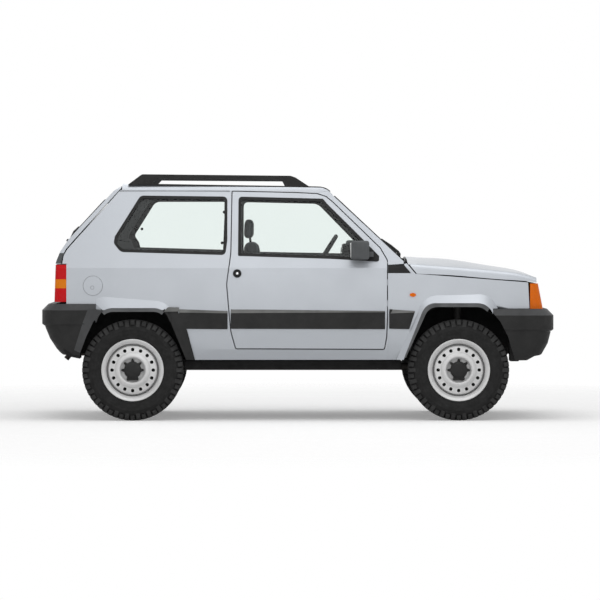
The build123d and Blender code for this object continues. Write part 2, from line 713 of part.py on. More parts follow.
def steering_wheel():
    """Steering wheel: rim, spokes and hub about the column's axis."""
    plane = Plane(COLUMN_TOP, x_dir=(0, 1, 0), z_dir=COLUMN_AXIS)
    wheel = Torus(178, 14) + Pos(0, 0, 20) * Cylinder(48, 70)
    wheel += Pos(0, 0, 6) * Box(356, 40, 14)
    wheel -= Pos(0, 0, 56) * Cylinder(9 + SEAT_FIT, 100)
    return plane * wheel


def engine():
    """Engine and gearbox as one plain mass on two mounts."""
    mass = fillet(block(780, 1010, -280, 240, 400, 820).edges(), 25)
    mass += fillet(block(880, 1040, -240, 330, 410, 600).edges(), 25)
    mounts = block(860, 920, -340 + SEAT_FIT, -250, 560, 640) + block(900, 960, 230, 340 - SEAT_FIT, 540, 590)
    return mass + mounts


def exhaust():
    """Pipe under the floor, over the axle, to the silencer."""
    z = FLOOR_Z - 20 - SEAT_FIT
    path = FilletPolyline((760, -200, z), (-800, -200, z), (-960, -200, 470), (-1300, -200, 480), radius=60)
    pipe = sweep(Plane(path @ 0, z_dir=path % 0) * Circle(20), path)
    box = fillet(block(-1540, -1290, -330, -80, 420, 540).edges(), 30)
    hanger = block(-1430, -1400, -215, -195, 530, 580 - SEAT_FIT)
    tail = rod((-1530, -200, 440), (-1566, -200, 395), 18)
    return pipe + box + hanger + tail


def drive_shafts():
    """Shafts from the gearbox toward the front wheels and the shaft to the rear axle."""
    shafts = rod((FRONT_AXLE_X, 100, TYRE_R), (FRONT_AXLE_X, 470, TYRE_R), 14)
    shafts += rod((FRONT_AXLE_X, 400, TYRE_R), (FRONT_AXLE_X, 470, TYRE_R), 36)
    shafts += other_side(shafts)
    shafts += rod((FRONT_AXLE_X, -110, TYRE_R), (FRONT_AXLE_X, 110, TYRE_R), 34)
    shafts += rod((FRONT_AXLE_X, 0, TYRE_R), (REAR_AXLE_X + 92.3, 0, TYRE_R), 24)
    return shafts


door_frame, door_glass = window_parts(DOOR_WINDOW, DOOR_WINDOW_RADII)
quarter_frame, quarter_glass = window_parts(QUARTER_WINDOW, QUARTER_WINDOW_RADII)
vent = panel(side_view(VENT), 0, WING_SHEET)
fixed_trim = [quarter_frame, vent, moulding(-790, -468), moulding(606, 778, 39), arch_flange()]
moving_trim = [door_frame, moulding(-447, 578), mirror_unit(), door_handle()]

side = body_side()
save("body_side_left", side)
save("body_side_right", other_side(side) - fuel_flap_groove())
save_pair("door", door())
save_pair("door_glass", door_glass)
save_pair("door_trim", Compound(children=[solid for piece in moving_trim for solid in piece.solids()]))
save_pair("front_wing", front_wing())
save_pair("side_trim", Compound(children=[solid for piece in fixed_trim for solid in piece.solids()]))
save("quarter_windows", both_sides(quarter_glass))
save("engine_bay", engine_bay())
save("grille", grille())
save("headlamps", both_sides(nose_piece(430 + SEAT_FIT, 612, 1575.5)))
lamps = [nose_piece(612 + SEAT_FIT, 800, 1545), side_repeater()]
save("indicators", both_sides(Compound(children=[solid for lamp in lamps for solid in lamp.solids()])))
save("tail_lamps", both_sides(tail_lamp()))
save("tailgate", tailgate())
save("tailgate_glass", tailgate_glass())
save("roof_rails", both_sides(roof_rail()))
save("dashboard", dashboard())
save("steering_wheel", steering_wheel())
save_pair("seat", seat())
save("rear_seat", rear_seat())
save("engine", engine())
save("exhaust", exhaust())
save("fuel_tank", fillet(block(-1000, -645, -60, 380, 400, 580).edges(), 20))
save("drive_shafts", drive_shafts())
save("wiper", wiper())
save("roof_panel", roof_panel())
save("windscreen", windscreen())
save("bonnet", bonnet())
save("front_bumper", front_bumper())
save("rear_bumper", rear_bumper())
save("floor_pan", floor_pan())
save("rear_axle", rear_axle())
save("front_suspension", front_suspension())
save_pair("knuckle", knuckle())
for place, axle_x in (("front", FRONT_AXLE_X), ("rear", REAR_AXLE_X)):
    save_pair(f"tyre_{place}", place_wheel(tyre(), axle_x))
    save_pair(f"rim_{place}", place_wheel(rim(), axle_x))
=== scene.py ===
import json
from math import cos, pi, radians, sin

import bmesh
import bpy
from bmesh.types import BMEdge, BMFace, BMVert
from mathutils import Matrix, Vector

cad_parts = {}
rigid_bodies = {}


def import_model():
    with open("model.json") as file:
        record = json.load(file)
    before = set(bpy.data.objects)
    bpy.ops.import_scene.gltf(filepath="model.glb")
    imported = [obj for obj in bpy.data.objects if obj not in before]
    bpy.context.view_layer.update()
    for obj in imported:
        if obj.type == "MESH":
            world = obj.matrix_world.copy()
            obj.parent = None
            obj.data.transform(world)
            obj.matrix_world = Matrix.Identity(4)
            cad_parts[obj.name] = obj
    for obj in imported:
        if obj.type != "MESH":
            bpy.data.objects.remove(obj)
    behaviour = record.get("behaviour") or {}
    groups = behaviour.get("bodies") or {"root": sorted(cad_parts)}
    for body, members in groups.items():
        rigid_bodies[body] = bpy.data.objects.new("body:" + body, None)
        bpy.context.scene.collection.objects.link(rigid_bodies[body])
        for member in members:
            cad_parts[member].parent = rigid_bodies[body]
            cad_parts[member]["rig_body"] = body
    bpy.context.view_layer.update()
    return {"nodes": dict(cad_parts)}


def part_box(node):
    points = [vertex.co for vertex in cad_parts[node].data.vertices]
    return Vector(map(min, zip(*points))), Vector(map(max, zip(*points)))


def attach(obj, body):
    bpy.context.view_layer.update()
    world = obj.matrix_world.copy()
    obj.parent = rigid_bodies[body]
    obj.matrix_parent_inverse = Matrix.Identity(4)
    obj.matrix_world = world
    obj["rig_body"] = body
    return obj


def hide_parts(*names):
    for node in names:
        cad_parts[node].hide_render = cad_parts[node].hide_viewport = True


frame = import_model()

bl_info = {
    "name": "Boxy hatchback looks",
    "version": (1, 0, 0),
    "blender": (4, 5, 0),
    "location": "View3D > Sidebar > Hatchback",
    "description": "Finishes, tyres, wheels, lamps, seats and trim for a small boxy hatchback",
    "category": "Object",
}

SIDES = {"left": 1, "right": -1}
FLOOR_LIFT = 0.25
NEAR_SIDE_Y = -0.73
FRONT_AXLE_X, REAR_AXLE_X = 1.068, -1.100
HUB_Z = 0.339
ACROSS, UP = (0, 1, 0), (0, 0, 1)
CORNERS = [(place, side) for place in ("front", "rear") for side in SIDES]
PAINTED = [
    "body_side_left", "body_side_right", "door_left", "door_right", "front_wing_left", "front_wing_right",
    "bonnet", "tailgate", "roof_panel",
]
MOULDED = [
    "front_bumper", "rear_bumper", "side_trim_left", "side_trim_right", "door_trim_left", "door_trim_right",
    "roof_rails", "grille",
]
PLAIN_FINISHES = {
    "windscreen": "glass", "door_glass_left": "glass", "door_glass_right": "glass",
    "quarter_windows": "glass", "tailgate_glass": "glass",
    "engine_bay": "underbody", "floor_pan": "underbody", "fuel_tank": "underbody",
    "front_suspension": "cast_iron", "rear_axle": "cast_iron", "knuckle_left": "cast_iron",
    "knuckle_right": "cast_iron", "engine": "cast_iron", "drive_shafts": "cast_iron",
    "exhaust": "exhaust_steel",
    "dashboard": "dash_vinyl", "steering_wheel": "dash_vinyl", "wiper": "black_plastic",
    "indicators": "amber_lens", "tail_lamps": "tail_lens", "headlamps": "clear_lens",
}


def count_value(name, description, default):
    """A count for the sidebar."""
    return bpy.props.IntProperty(name=name, description=description, default=default)


def length_value(name, description, default):
    """A length for the sidebar."""
    return bpy.props.FloatProperty(name=name, description=description, default=default, unit="LENGTH")


def colour_value(name, description, default):
    """A colour for the sidebar."""
    return bpy.props.FloatVectorProperty(
        name=name, description=description, subtype="COLOR", size=3, default=default)


class HatchbackSizes(bpy.types.PropertyGroup):
    """Sizes of the pieces that are added to the frame."""

    lugs: count_value("Tread blocks", "Blocks round each row of a tyre", 52)
    lug_depth: length_value("Tread depth", "Depth of the tread grooves", 0.011)
    wheel_holes: count_value("Wheel holes", "Vent holes round a steel wheel", 16)
    hole_ring: length_value("Hole ring", "Radius of the ring of vent holes", 0.137)
    hole_radius: length_value("Hole radius", "Radius of one vent hole", 0.0122)
    cap_radius: length_value("Cap radius", "Mean radius of the hub cap", 0.070)
    panel_edge: length_value("Panel edge", "Rounding along the edges of the steel panels", 0.003)
    moulding_edge: length_value("Moulding edge", "Rounding along plastic edges", 0.004)


class HatchbackColours(bpy.types.PropertyGroup):
    """Colours that a user would change."""

    paint: colour_value("Paint", "Silver body paint", (0.47, 0.495, 0.53))
    plastic: colour_value("Plastic", "Moulded bumpers and strips", (0.021, 0.021, 0.021))
    rubber: colour_value("Rubber", "Tyres", (0.015, 0.015, 0.015))
    wheel: colour_value("Wheel", "Silver wheel paint", (0.74, 0.74, 0.74))
    amber: colour_value("Amber", "Indicator lens", (1.0, 0.20, 0.002))
    red: colour_value("Red", "Tail lamp lens", (0.74, 0.006, 0.010))
    cloth: colour_value("Cloth", "Seat cloth", (0.035, 0.040, 0.042))


class HatchbackStage(bpy.types.PropertyGroup):
    """Where the camera stands and how strong the light is."""

    distance: length_value("Distance", "Camera to the near side of the car", 26.0)
    view_width: length_value("View width", "Width of the picture at the near side", 3.984)
    aim_x: length_value("Aim X", "Middle of the picture along the car", 0.013)
    aim_z: length_value("Aim Z", "Middle of the picture above the road", 0.803)
    eye_x: length_value("Eye X", "Camera along the car", -0.2)
    eye_z: length_value("Eye height", "Camera above the road", 1.26)
    sky: bpy.props.FloatProperty(
        name="Sky", description="Strength of the even light from all round", default=0.45)
    key: bpy.props.FloatProperty(
        name="Key", description="Power of the overhead light", default=130.0, unit="POWER")


def sizes():
    """The sizes in force."""
    return bpy.context.scene.hatchback_sizes


def colours():
    """The colours in force."""
    return bpy.context.scene.hatchback_colours


# Finishes: each is a node material on object coordinates.
def new_finish(name, colour, roughness, metallic=0.0):
    """A material with its shader's even values set, its node tree and its shader."""
    finish = bpy.data.materials.new(name)
    finish.use_nodes = True
    shader = finish.node_tree.nodes["Principled BSDF"]
    shader.inputs["Base Color"].default_value = (*colour, 1)
    shader.inputs["Roughness"].default_value = roughness
    shader.inputs["Metallic"].default_value = metallic
    return finish, finish.node_tree, shader


def object_coords(tree):
    """The object's own coordinates in metres."""
    return tree.nodes.new("ShaderNodeTexCoord").outputs["Object"]


def noise(tree, scale, detail=3.0):
    """Cloudy pattern with a scale per metre."""
    node = tree.nodes.new("ShaderNodeTexNoise")
    node.inputs["Scale"].default_value = scale
    node.inputs["Detail"].default_value = detail
    tree.links.new(object_coords(tree), node.inputs["Vector"])
    return node.outputs["Fac"]


def cells(tree, scale):
    """Pattern of small cells with a scale per metre."""
    node = tree.nodes.new("ShaderNodeTexVoronoi")
    node.inputs["Scale"].default_value = scale
    tree.links.new(object_coords(tree), node.inputs["Vector"])
    return node.outputs["Distance"]


def waves(tree, scale, direction):
    """Straight ribs across one axis."""
    node = tree.nodes.new("ShaderNodeTexWave")
    node.bands_direction = direction
    node.inputs["Scale"].default_value = scale
    tree.links.new(object_coords(tree), node.inputs["Vector"])
    return node.outputs["Fac"]


def between(tree, value, low, high, start=0.3, end=0.7):
    """A value spread from low to high."""
    node = tree.nodes.new("ShaderNodeMapRange")
    node.inputs["From Min"].default_value = start
    node.inputs["From Max"].default_value = end
    node.inputs["To Min"].default_value = low
    node.inputs["To Max"].default_value = high
    tree.links.new(value, node.inputs["Value"])
    return node.outputs["Result"]


def mixed_colour(tree, value, first, second):
    """Colour that goes from the first to the second."""
    node = tree.nodes.new("ShaderNodeMix")
    node.data_type = "RGBA"
    node.inputs[6].default_value = (*first, 1)
    node.inputs[7].default_value = (*second, 1)
    tree.links.new(value, node.inputs[0])
    return node.outputs[2]


def add_bump(tree, shader, height, strength, distance):
    """Fine relief on a shader."""
    node = tree.nodes.new("ShaderNodeBump")
    node.inputs["Strength"].default_value = strength
    node.inputs["Distance"].default_value = distance
    tree.links.new(height, node.inputs["Height"])
    tree.links.new(node.outputs["Normal"], shader.inputs["Normal"])


def shade(colour, factor):
    """A colour made lighter or darker."""
    return tuple(channel * factor for channel in colour)


def axis_value(tree, axis):
    """One of the object's coordinates."""
    node = tree.nodes.new("ShaderNodeSeparateXYZ")
    tree.links.new(object_coords(tree), node.inputs["Vector"])
    return node.outputs[axis]


def uneven_colour(tree, shader, cloud, first, second):
    """Let a pattern carry a shader's colour from the first to the second."""
    tree.links.new(mixed_colour(tree, cloud, first, second), shader.inputs["Base Color"])


def uneven_sheen(tree, shader, scale, low, high):
    """Cloudy change of a shader's roughness."""
    tree.links.new(between(tree, noise(tree, scale), low, high), shader.inputs["Roughness"])


def paint_finish():
    """Silver paint under lacquer, with fine flake and painted shade that darkens it towards the bottom."""
    colour = colours().paint
    finish, tree, shader = new_finish("silver_paint", colour, 0.42, 0.75)
    flake = between(tree, cells(tree, 900), 0.0, 1.0, 0.0, 0.8)
    sparkle = mixed_colour(tree, flake, shade(colour, 1.05), shade(colour, 0.94))
    # Painted shade: the paint is mixed towards a darker tone low on the body, where the lower sides fall into
    # shade.
    low_shade = tree.nodes.new("ShaderNodeMix")
    low_shade.data_type = "RGBA"
    low_shade.inputs[7].default_value = (*shade(colour, 0.80), 1)
    tree.links.new(between(tree, axis_value(tree, "Z"), 0.55, 0.0, 0.40, 0.80), low_shade.inputs[0])
    tree.links.new(sparkle, low_shade.inputs[6])
    tree.links.new(low_shade.outputs[2], shader.inputs["Base Color"])
    uneven_sheen(tree, shader, 6, 0.38, 0.46)
    shader.inputs["Specular IOR Level"].default_value = 0.3
    shader.inputs["Coat Weight"].default_value = 0.25
    shader.inputs["Coat Roughness"].default_value = 0.06
    add_bump(tree, shader, noise(tree, 420), 0.03, 0.0006)
    return finish


def moulded_finish(name, colour, roughness=0.55, grain=650):
    """Grained plastic, greyer where it has weathered."""
    finish, tree, shader = new_finish(name, colour, roughness)
    shader.inputs["Specular IOR Level"].default_value = 0.22
    weather = between(tree, noise(tree, 9), 0.0, 1.0)
    uneven_colour(tree, shader, weather, shade(colour, 0.85), shade(colour, 1.30))
    uneven_sheen(tree, shader, 30, roughness - 0.08, roughness + 0.1)
    add_bump(tree, shader, cells(tree, grain), 0.35, 0.0006)
    return finish


def rubber_finish(name, colour):
    """Tyre rubber with uneven dust."""
    finish, tree, shader = new_finish(name, colour, 0.78)
    shader.inputs["Specular IOR Level"].default_value = 0.2
    dust = between(tree, noise(tree, 22, 6), 0.0, 1.0)
    uneven_colour(tree, shader, dust, colour, shade(colour, 1.7))
    uneven_sheen(tree, shader, 60, 0.68, 0.88)
    add_bump(tree, shader, noise(tree, 500), 0.25, 0.0006)
    return finish


def metal_finish(name, colour, roughness, metallic, blotch=12):
    """Painted or bare metal with uneven sheen."""
    finish, tree, shader = new_finish(name, colour, roughness, metallic)
    blotches = between(tree, noise(tree, blotch, 5), 0.0, 1.0)
    uneven_colour(tree, shader, blotches, shade(colour, 0.90), shade(colour, 1.06))
    uneven_sheen(tree, shader, blotch * 4, roughness - 0.06, roughness + 0.08)
    add_bump(tree, shader, noise(tree, 350), 0.12, 0.0005)
    return finish


def glass_finish():
    """Thin greenish window glass: see-through, with a surface reflection."""
    finish = bpy.data.materials.new("window_glass")
    finish.use_nodes = True
    tree = finish.node_tree
    tree.nodes.remove(tree.nodes["Principled BSDF"])
    clear = tree.nodes.new("ShaderNodeBsdfTransparent")
    gloss = tree.nodes.new("ShaderNodeBsdfGlossy")
    edge = tree.nodes.new("ShaderNodeFresnel")
    layer = tree.nodes.new("ShaderNodeMixShader")
    tint = mixed_colour(tree, noise(tree, 3), (0.945, 0.968, 0.960), (0.955, 0.975, 0.968))
    edge.inputs["IOR"].default_value = 1.30
    tree.links.new(tint, clear.inputs["Color"])
    tree.links.new(between(tree, noise(tree, 8), 0.01, 0.03), gloss.inputs["Roughness"])
    tree.links.new(edge.outputs["Fac"], layer.inputs["Fac"])
    tree.links.new(clear.outputs["BSDF"], layer.inputs[1])
    tree.links.new(gloss.outputs["BSDF"], layer.inputs[2])
    tree.links.new(layer.outputs["Shader"], tree.nodes["Material Output"].inputs["Surface"])
    return finish


def lens_finish(name, colour, ribs, direction, transmission=0.15):
    """Coloured lamp lens with moulded ribs inside."""
    finish, tree, shader = new_finish(name, colour, 0.12)
    ribbing = waves(tree, ribs, direction)
    uneven_colour(tree, shader, ribbing, shade(colour, 0.86), shade(colour, 1.10))
    shader.inputs["Transmission Weight"].default_value = transmission
    shader.inputs["Specular IOR Level"].default_value = 0.12
    add_bump(tree, shader, ribbing, 0.25, 0.001)
    return finish


def tail_lens_finish():
    """Tail lamp: a red, an amber and a lower red chamber."""
    red, amber = colours().red, (1.0, 0.27, 0.004)
    finish, tree, shader = new_finish("tail_lens", red, 0.15)
    low, high = 0.881, 0.940
    band = tree.nodes.new("ShaderNodeMath")
    band.operation = "COMPARE"
    band.inputs[1].default_value = (low + high) / 2
    band.inputs[2].default_value = (high - low) / 2
    tree.links.new(axis_value(tree, "Z"), band.inputs[0])
    uneven_colour(tree, shader, band.outputs[0], red, amber)
    shader.inputs["Specular IOR Level"].default_value = 0.12
    shader.inputs["Transmission Weight"].default_value = 0.10
    add_bump(tree, shader, waves(tree, 60, "Z"), 0.3, 0.001)
    return finish


def cloth_finish():
    """Woven seat cloth with a faint stripe."""
    colour = colours().cloth
    finish, tree, shader = new_finish("seat_cloth", colour, 0.9)
    stripe = waves(tree, 14, "Y")
    weave = tree.nodes.new("ShaderNodeMath")
    weave.operation = "MULTIPLY"
    tree.links.new(waves(tree, 160, "X"), weave.inputs[0])
    tree.links.new(waves(tree, 160, "Z"), weave.inputs[1])
    uneven_colour(tree, shader, stripe, shade(colour, 0.8), shade(colour, 1.5))
    shader.inputs["Sheen Weight"].default_value = 0.25
    add_bump(tree, shader, weave.outputs[0], 0.2, 0.0008)
    return finish


def make_finishes():
    """All finishes by short name."""
    plastic = colours().plastic
    return {
        "paint": paint_finish(),
        "black_plastic": moulded_finish("moulded_plastic", plastic),
        # Dark grey plastic, also used as the painted highlight on the bumpers' top bevel and rounded edges.
        "edge_plastic": moulded_finish("edge_plastic", (0.060, 0.061, 0.063), 0.5),
        # Painted highlight for the lit top of the rubbing strips.
        "strip_top_highlight": moulded_finish("strip_top_highlight", (0.150, 0.152, 0.148), 0.6),
        # Near-black of the brake drums, also used as painted shade in the wheels' rim groove.
        "drum_iron_and_groove_shade": metal_finish("drum_iron_and_groove_shade", (0.012, 0.012, 0.012), 0.8, 0.2),
        # Lighter copy of the tyre rubber, with dust, as a painted highlight on the raised tread.
        "tread_rubber": rubber_finish("tread_rubber", shade(colours().rubber, 2.1)),
        "flap_line": moulded_finish("flap_line", (0.20, 0.21, 0.22), 0.5),
        # Painted shade for the return flanges inside the wheel-arch flares.
        "arch_lip_shade": moulded_finish("arch_lip_shade", (0.170, 0.175, 0.180), 0.5),
        "cast_alloy": metal_finish("cast_alloy", (0.36, 0.36, 0.35), 0.5, 0.8, 20),
        "milky_plastic": moulded_finish("milky_plastic", (0.52, 0.53, 0.51), 0.4),
        "headlining": moulded_finish("headlining", (0.36, 0.36, 0.34), 0.95, 300),
        # Grey of the mirror housing, also used as painted shade on the tailgate's lower side corners.
        "mirror_grey_and_tailgate_shade": moulded_finish("mirror_grey_and_tailgate_shade", (0.095, 0.100, 0.104), 0.5),
        "dash_vinyl": moulded_finish("dash_vinyl", (0.028, 0.029, 0.031), 0.6, 420),
        "underbody": moulded_finish("underbody_sealant", (0.012, 0.012, 0.012), 0.85, 240),
        "rubber": rubber_finish("tyre_rubber", colours().rubber),
        "wheel_steel": metal_finish("wheel_silver", colours().wheel, 0.42, 0.25, 3),
        "cast_iron": metal_finish("chassis_iron", (0.028, 0.027, 0.026), 0.7, 0.4),
        "exhaust_steel": metal_finish("exhaust_steel", (0.045, 0.040, 0.036), 0.65, 0.5, 30),
        "bright": metal_finish("reflector_metal", (0.82, 0.82, 0.82), 0.12, 1.0),
        "glass": glass_finish(),
        "clear_lens": lens_finish("headlamp_lens", (0.72, 0.75, 0.76), 60, "Y", 0.85),
        "amber_lens": lens_finish("amber_lens", colours().amber, 45, "Z"),
        "tail_lens": tail_lens_finish(),
        "cloth": cloth_finish(),
        "carpet": moulded_finish("carpet_pile", (0.020, 0.021, 0.022), 0.95, 300),
        "seal_rubber": moulded_finish("seal_rubber", (0.014, 0.014, 0.014), 0.6, 500),
    }


FINISHES = {}


# Mesh helpers.
def finished(name, work, body, finish, sharp=40.0):
    """Close an edited mesh, its normals turned outward, into a piece that rides on a body."""
    bmesh.ops.recalc_face_normals(work, faces=work.faces)
    mesh = bpy.data.meshes.new(name)
    work.to_mesh(mesh)
    work.free()
    if mesh.has_custom_normals:
        mesh.attributes.remove(mesh.attributes["custom_normal"])
    mesh.materials.append(FINISHES[finish])
    mesh.shade_smooth()
    mesh.set_sharp_from_angle(angle=radians(sharp))
    piece = bpy.data.objects.new(name, mesh)
    bpy.context.scene.collection.objects.link(piece)
    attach(piece, body)
    return piece


def body_of(node):
    """The body that a frame node rides on."""
    return frame["nodes"][node]["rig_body"]


def merged_copy(node):
    """A frame node's mesh with its doubled points merged and its flat faces joined."""
    work = bmesh.new()
    work.from_mesh(frame["nodes"][node].data)
    bmesh.ops.remove_doubles(work, verts=work.verts, dist=2e-5)
    bmesh.ops.dissolve_limit(
        work, angle_limit=radians(0.5), verts=work.verts, edges=work.edges, delimit={"NORMAL"})
    bmesh.ops.recalc_face_normals(work, faces=work.faces)
    return work


def refined(node, finish, edge, edge_finish=None, sharp=10.5):
    """A merged copy of a frame node with rounded edges, reshaped or recoloured where that is due."""
    work = merged_copy(node)
    extra = (edge_finish,) if edge_finish else ()
    if node in TOUCHES:
        extra = TOUCHES[node](work) or extra
    piece = finished(f"dressed_{node}", work, body_of(node), finish, sharp)
    for name in extra:
        piece.data.materials.append(FINISHES[name])
    bevel = piece.modifiers.new("rounded_edges", "BEVEL")
    bevel.width = edge
    bevel.segments = 2
    bevel.limit_method = "ANGLE"
    bevel.angle_limit = radians(38)
    bevel.use_clamp_overlap = True
    # Painted highlight: the rounded edges take the paler edge finish, as if they caught the light.
    if edge_finish:
        bevel.material = 1
    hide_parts(node)
    return piece


def recolour(work, index, chosen):
    """Give the faces that a test picks one of the piece's further finishes."""
    for face in work.faces:
        if chosen(face.calc_center_median(), face.normal):
            face.material_index = index


def touch_strip(work):
    """Rubbing strip: the sloping top is painted paler, as a highlight where it faces the light."""
    # Painted highlight: upward-facing faces of the strip's top take the paler finish.
    recolour(work, 1, lambda centre, normal: normal.z > 0.25 and 0.70 < centre.z < 0.76)
    return ("strip_top_highlight",)


def touch_bumper(work):
    """Bumper: the bevel along the top, facing up into the light, is painted paler as a highlight."""
    # Painted highlight: faces sloping up along the top take the paler edge finish.
    recolour(work, 1, lambda centre, normal: 0.3 < normal.z < 0.97 and centre.z > 0.69)
    return ("edge_plastic",)


def touch_door_trim(work):
    """Door trim: a strip like the body's, its top painted paler as a highlight, and a mirror housing of paler
    plastic.
    """
    touch_strip(work)
    recolour(work, 2, lambda centre, normal: abs(centre.y) > 0.7445 and centre.z > 1.069)
    return ("strip_top_highlight", "mirror_grey_and_tailgate_shade")


def touch_tailgate(work):
    """Tailgate: the lower corners of its sides are painted dark grey as shade, where they turn away from the
    light.
    """
    low, high = 1.046, 1.115
    for z in (high, low):
        geom = [*work.verts, *work.edges, *work.faces]
        bmesh.ops.bisect_plane(work, geom=geom, dist=1e-5, plane_co=(0, 0, z), plane_no=UP)
    for face in work.faces:
        # Painted shade: the side faces in this band take the dark grey finish.
        centre = face.calc_center_median()
        if low < centre.z < high and abs(face.normal.y) > 0.7 and abs(centre.y) > 0.6:
            face.material_index = 1
    return ("mirror_grey_and_tailgate_shade",)


def touch_roof(work):
    """Roof: its front edge rolls down into the windscreen's plane."""
    for point, normal in (
        ((0.229, 0, 1.5075), (0.684, 0, 0.729)),
        ((0.1935, 0, 1.5370), (0.40, 0, 0.9165)),
        ((0.155, 0, 1.5505), (0.21, 0, 0.978)),
    ):
        geom = [*work.verts, *work.edges, *work.faces]
        bmesh.ops.bisect_plane(
            work, geom=geom, dist=1e-5, plane_co=point, plane_no=normal, clear_outer=True)
        rim = [e for e in work.edges if e.is_boundary]
        bmesh.ops.holes_fill(work, edges=rim, sides=0)


def touch_rails(work):
    """Roof rails: a slimmer upper bar over a taller slot."""
    for vert in work.verts:
        x, z = vert.co.x, vert.co.z
        slot_top = 1.600 - 0.006 * (x + 0.94) / 0.84
        if -0.965 < x < -0.090 and -0.008 < z - slot_top < 0.002:
            vert.co.z += 0.012


def touch_bonnet(work):
    """Bonnet: its rear edge lies level with the rest of the crown."""
    work.normal_update()
    for vert in work.verts:
        if vert.co.x < 0.775 and vert.normal.z > 0.2:
            vert.co.z -= 0.17 * (0.775 - vert.co.x)


TOUCHES = {
    "bonnet": touch_bonnet,
    "side_trim_left": touch_strip, "side_trim_right": touch_strip,
    "door_trim_left": touch_door_trim, "door_trim_right": touch_door_trim,
    "tailgate": touch_tailgate, "roof_panel": touch_roof, "roof_rails": touch_rails,
    "front_bumper": touch_bumper, "rear_bumper": touch_bumper,
}


def only(kind, items):
    """The items that are of one kind."""
    return [item for item in items if isinstance(item, kind)]


def turned(work, verts, angle, axis="Y"):
    """Turn points about an axis through the origin."""
    bmesh.ops.rotate(work, verts=verts, cent=(0, 0, 0), matrix=Matrix.Rotation(angle, 3, axis))


def rounded_edges(work, edges, offset, segments):
    """Round some edges."""
    bmesh.ops.bevel(
        work, geom=edges, offset=offset, affect="EDGES", segments=segments, profile=0.5, material=-1)


def chain(work, points, closed=False):
    """Edges through a few points."""
    verts = [work.verts.new(point) for point in points]
    pairs = list(zip(verts, verts[1:]))
    if closed:
        pairs.append((verts[-1], verts[0]))
    return verts, [work.edges.new(pair) for pair in pairs]


def spun(work, profile, steps):
    """Turn a (radius, along) profile fully about the Y axis."""
    verts, edges = chain(work, [(radius, along, 0) for radius, along in profile])
    bmesh.ops.spin(
        work, geom=verts + edges, cent=(0, 0, 0), axis=ACROSS, angle=2 * pi, steps=steps, use_merge=True)


def repeated(work, geom, count):
    """Copies of some geometry all round the Y axis."""
    bmesh.ops.spin(
        work, geom=geom, cent=(0, 0, 0), axis=ACROSS, angle=2 * pi * (count - 1) / count,
        steps=count - 1, use_duplicate=True)


def new_geometry(work, before):
    """Everything made since a set was taken."""
    return [item for seq in (work.verts, work.edges, work.faces) for item in seq if item not in before]


def everything(work):
    """A set of all geometry so far."""
    return {item for seq in (work.verts, work.edges, work.faces) for item in seq}


def wedge(work, section, angle, edge=0.0012):
    """A block whose (radius, along) section is carried round the Y axis by an angle."""
    before = everything(work)
    verts, _ = chain(work, [(radius, along, 0) for radius, along in section], closed=True)
    turned(work, verts, -angle / 2)
    grown = bmesh.ops.extrude_face_region(work, geom=[work.faces.new(verts)])
    turned(work, only(BMVert, grown["geom"]), angle)
    rounded_edges(work, only(BMEdge, new_geometry(work, before)), edge, 1)
    made = new_geometry(work, before)
    # Painted highlight: the block's faces take the tyre's second, lighter rubber.
    for face in only(BMFace, made):
        face.material_index = 1
    return made


def placed(work, centre, outward):
    """Carry a wheel piece to its place, its outer face turned outward."""
    bmesh.ops.remove_doubles(work, verts=work.verts, dist=1e-5)
    if outward < 0:
        turned(work, work.verts, pi, "Z")
    bmesh.ops.translate(work, verts=work.verts, vec=centre)


def middle(node):
    """Middle of a node's box."""
    low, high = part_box(node)
    return (Vector(low) + Vector(high)) / 2


def rounded_block(work, low, high, edge, segments=3):
    """A box with rounded edges."""
    made = bmesh.ops.create_cube(work, size=1)
    low, high = Vector(low), Vector(high)
    bmesh.ops.scale(work, verts=made["verts"], vec=high - low)
    bmesh.ops.translate(work, verts=made["verts"], vec=(low + high) / 2)
    rounded_edges(work, list({e for v in made["verts"] for e in v.link_edges}), edge, segments)


def disc(work, centre, axis, radius, depth, edge, segments=32):
    """A short round boss along an axis with a rounded rim."""
    before = everything(work)
    turn = Vector(UP).rotation_difference(Vector(axis)).to_matrix().to_4x4()
    bmesh.ops.create_cone(
        work, cap_ends=True, segments=segments, radius1=radius, radius2=radius, depth=depth,
        matrix=Matrix.Translation(centre) @ turn)
    rims = [e for e in work.edges if e not in before and any(len(f.verts) > 4 for f in e.link_faces)]
    rounded_edges(work, rims, edge, 2)


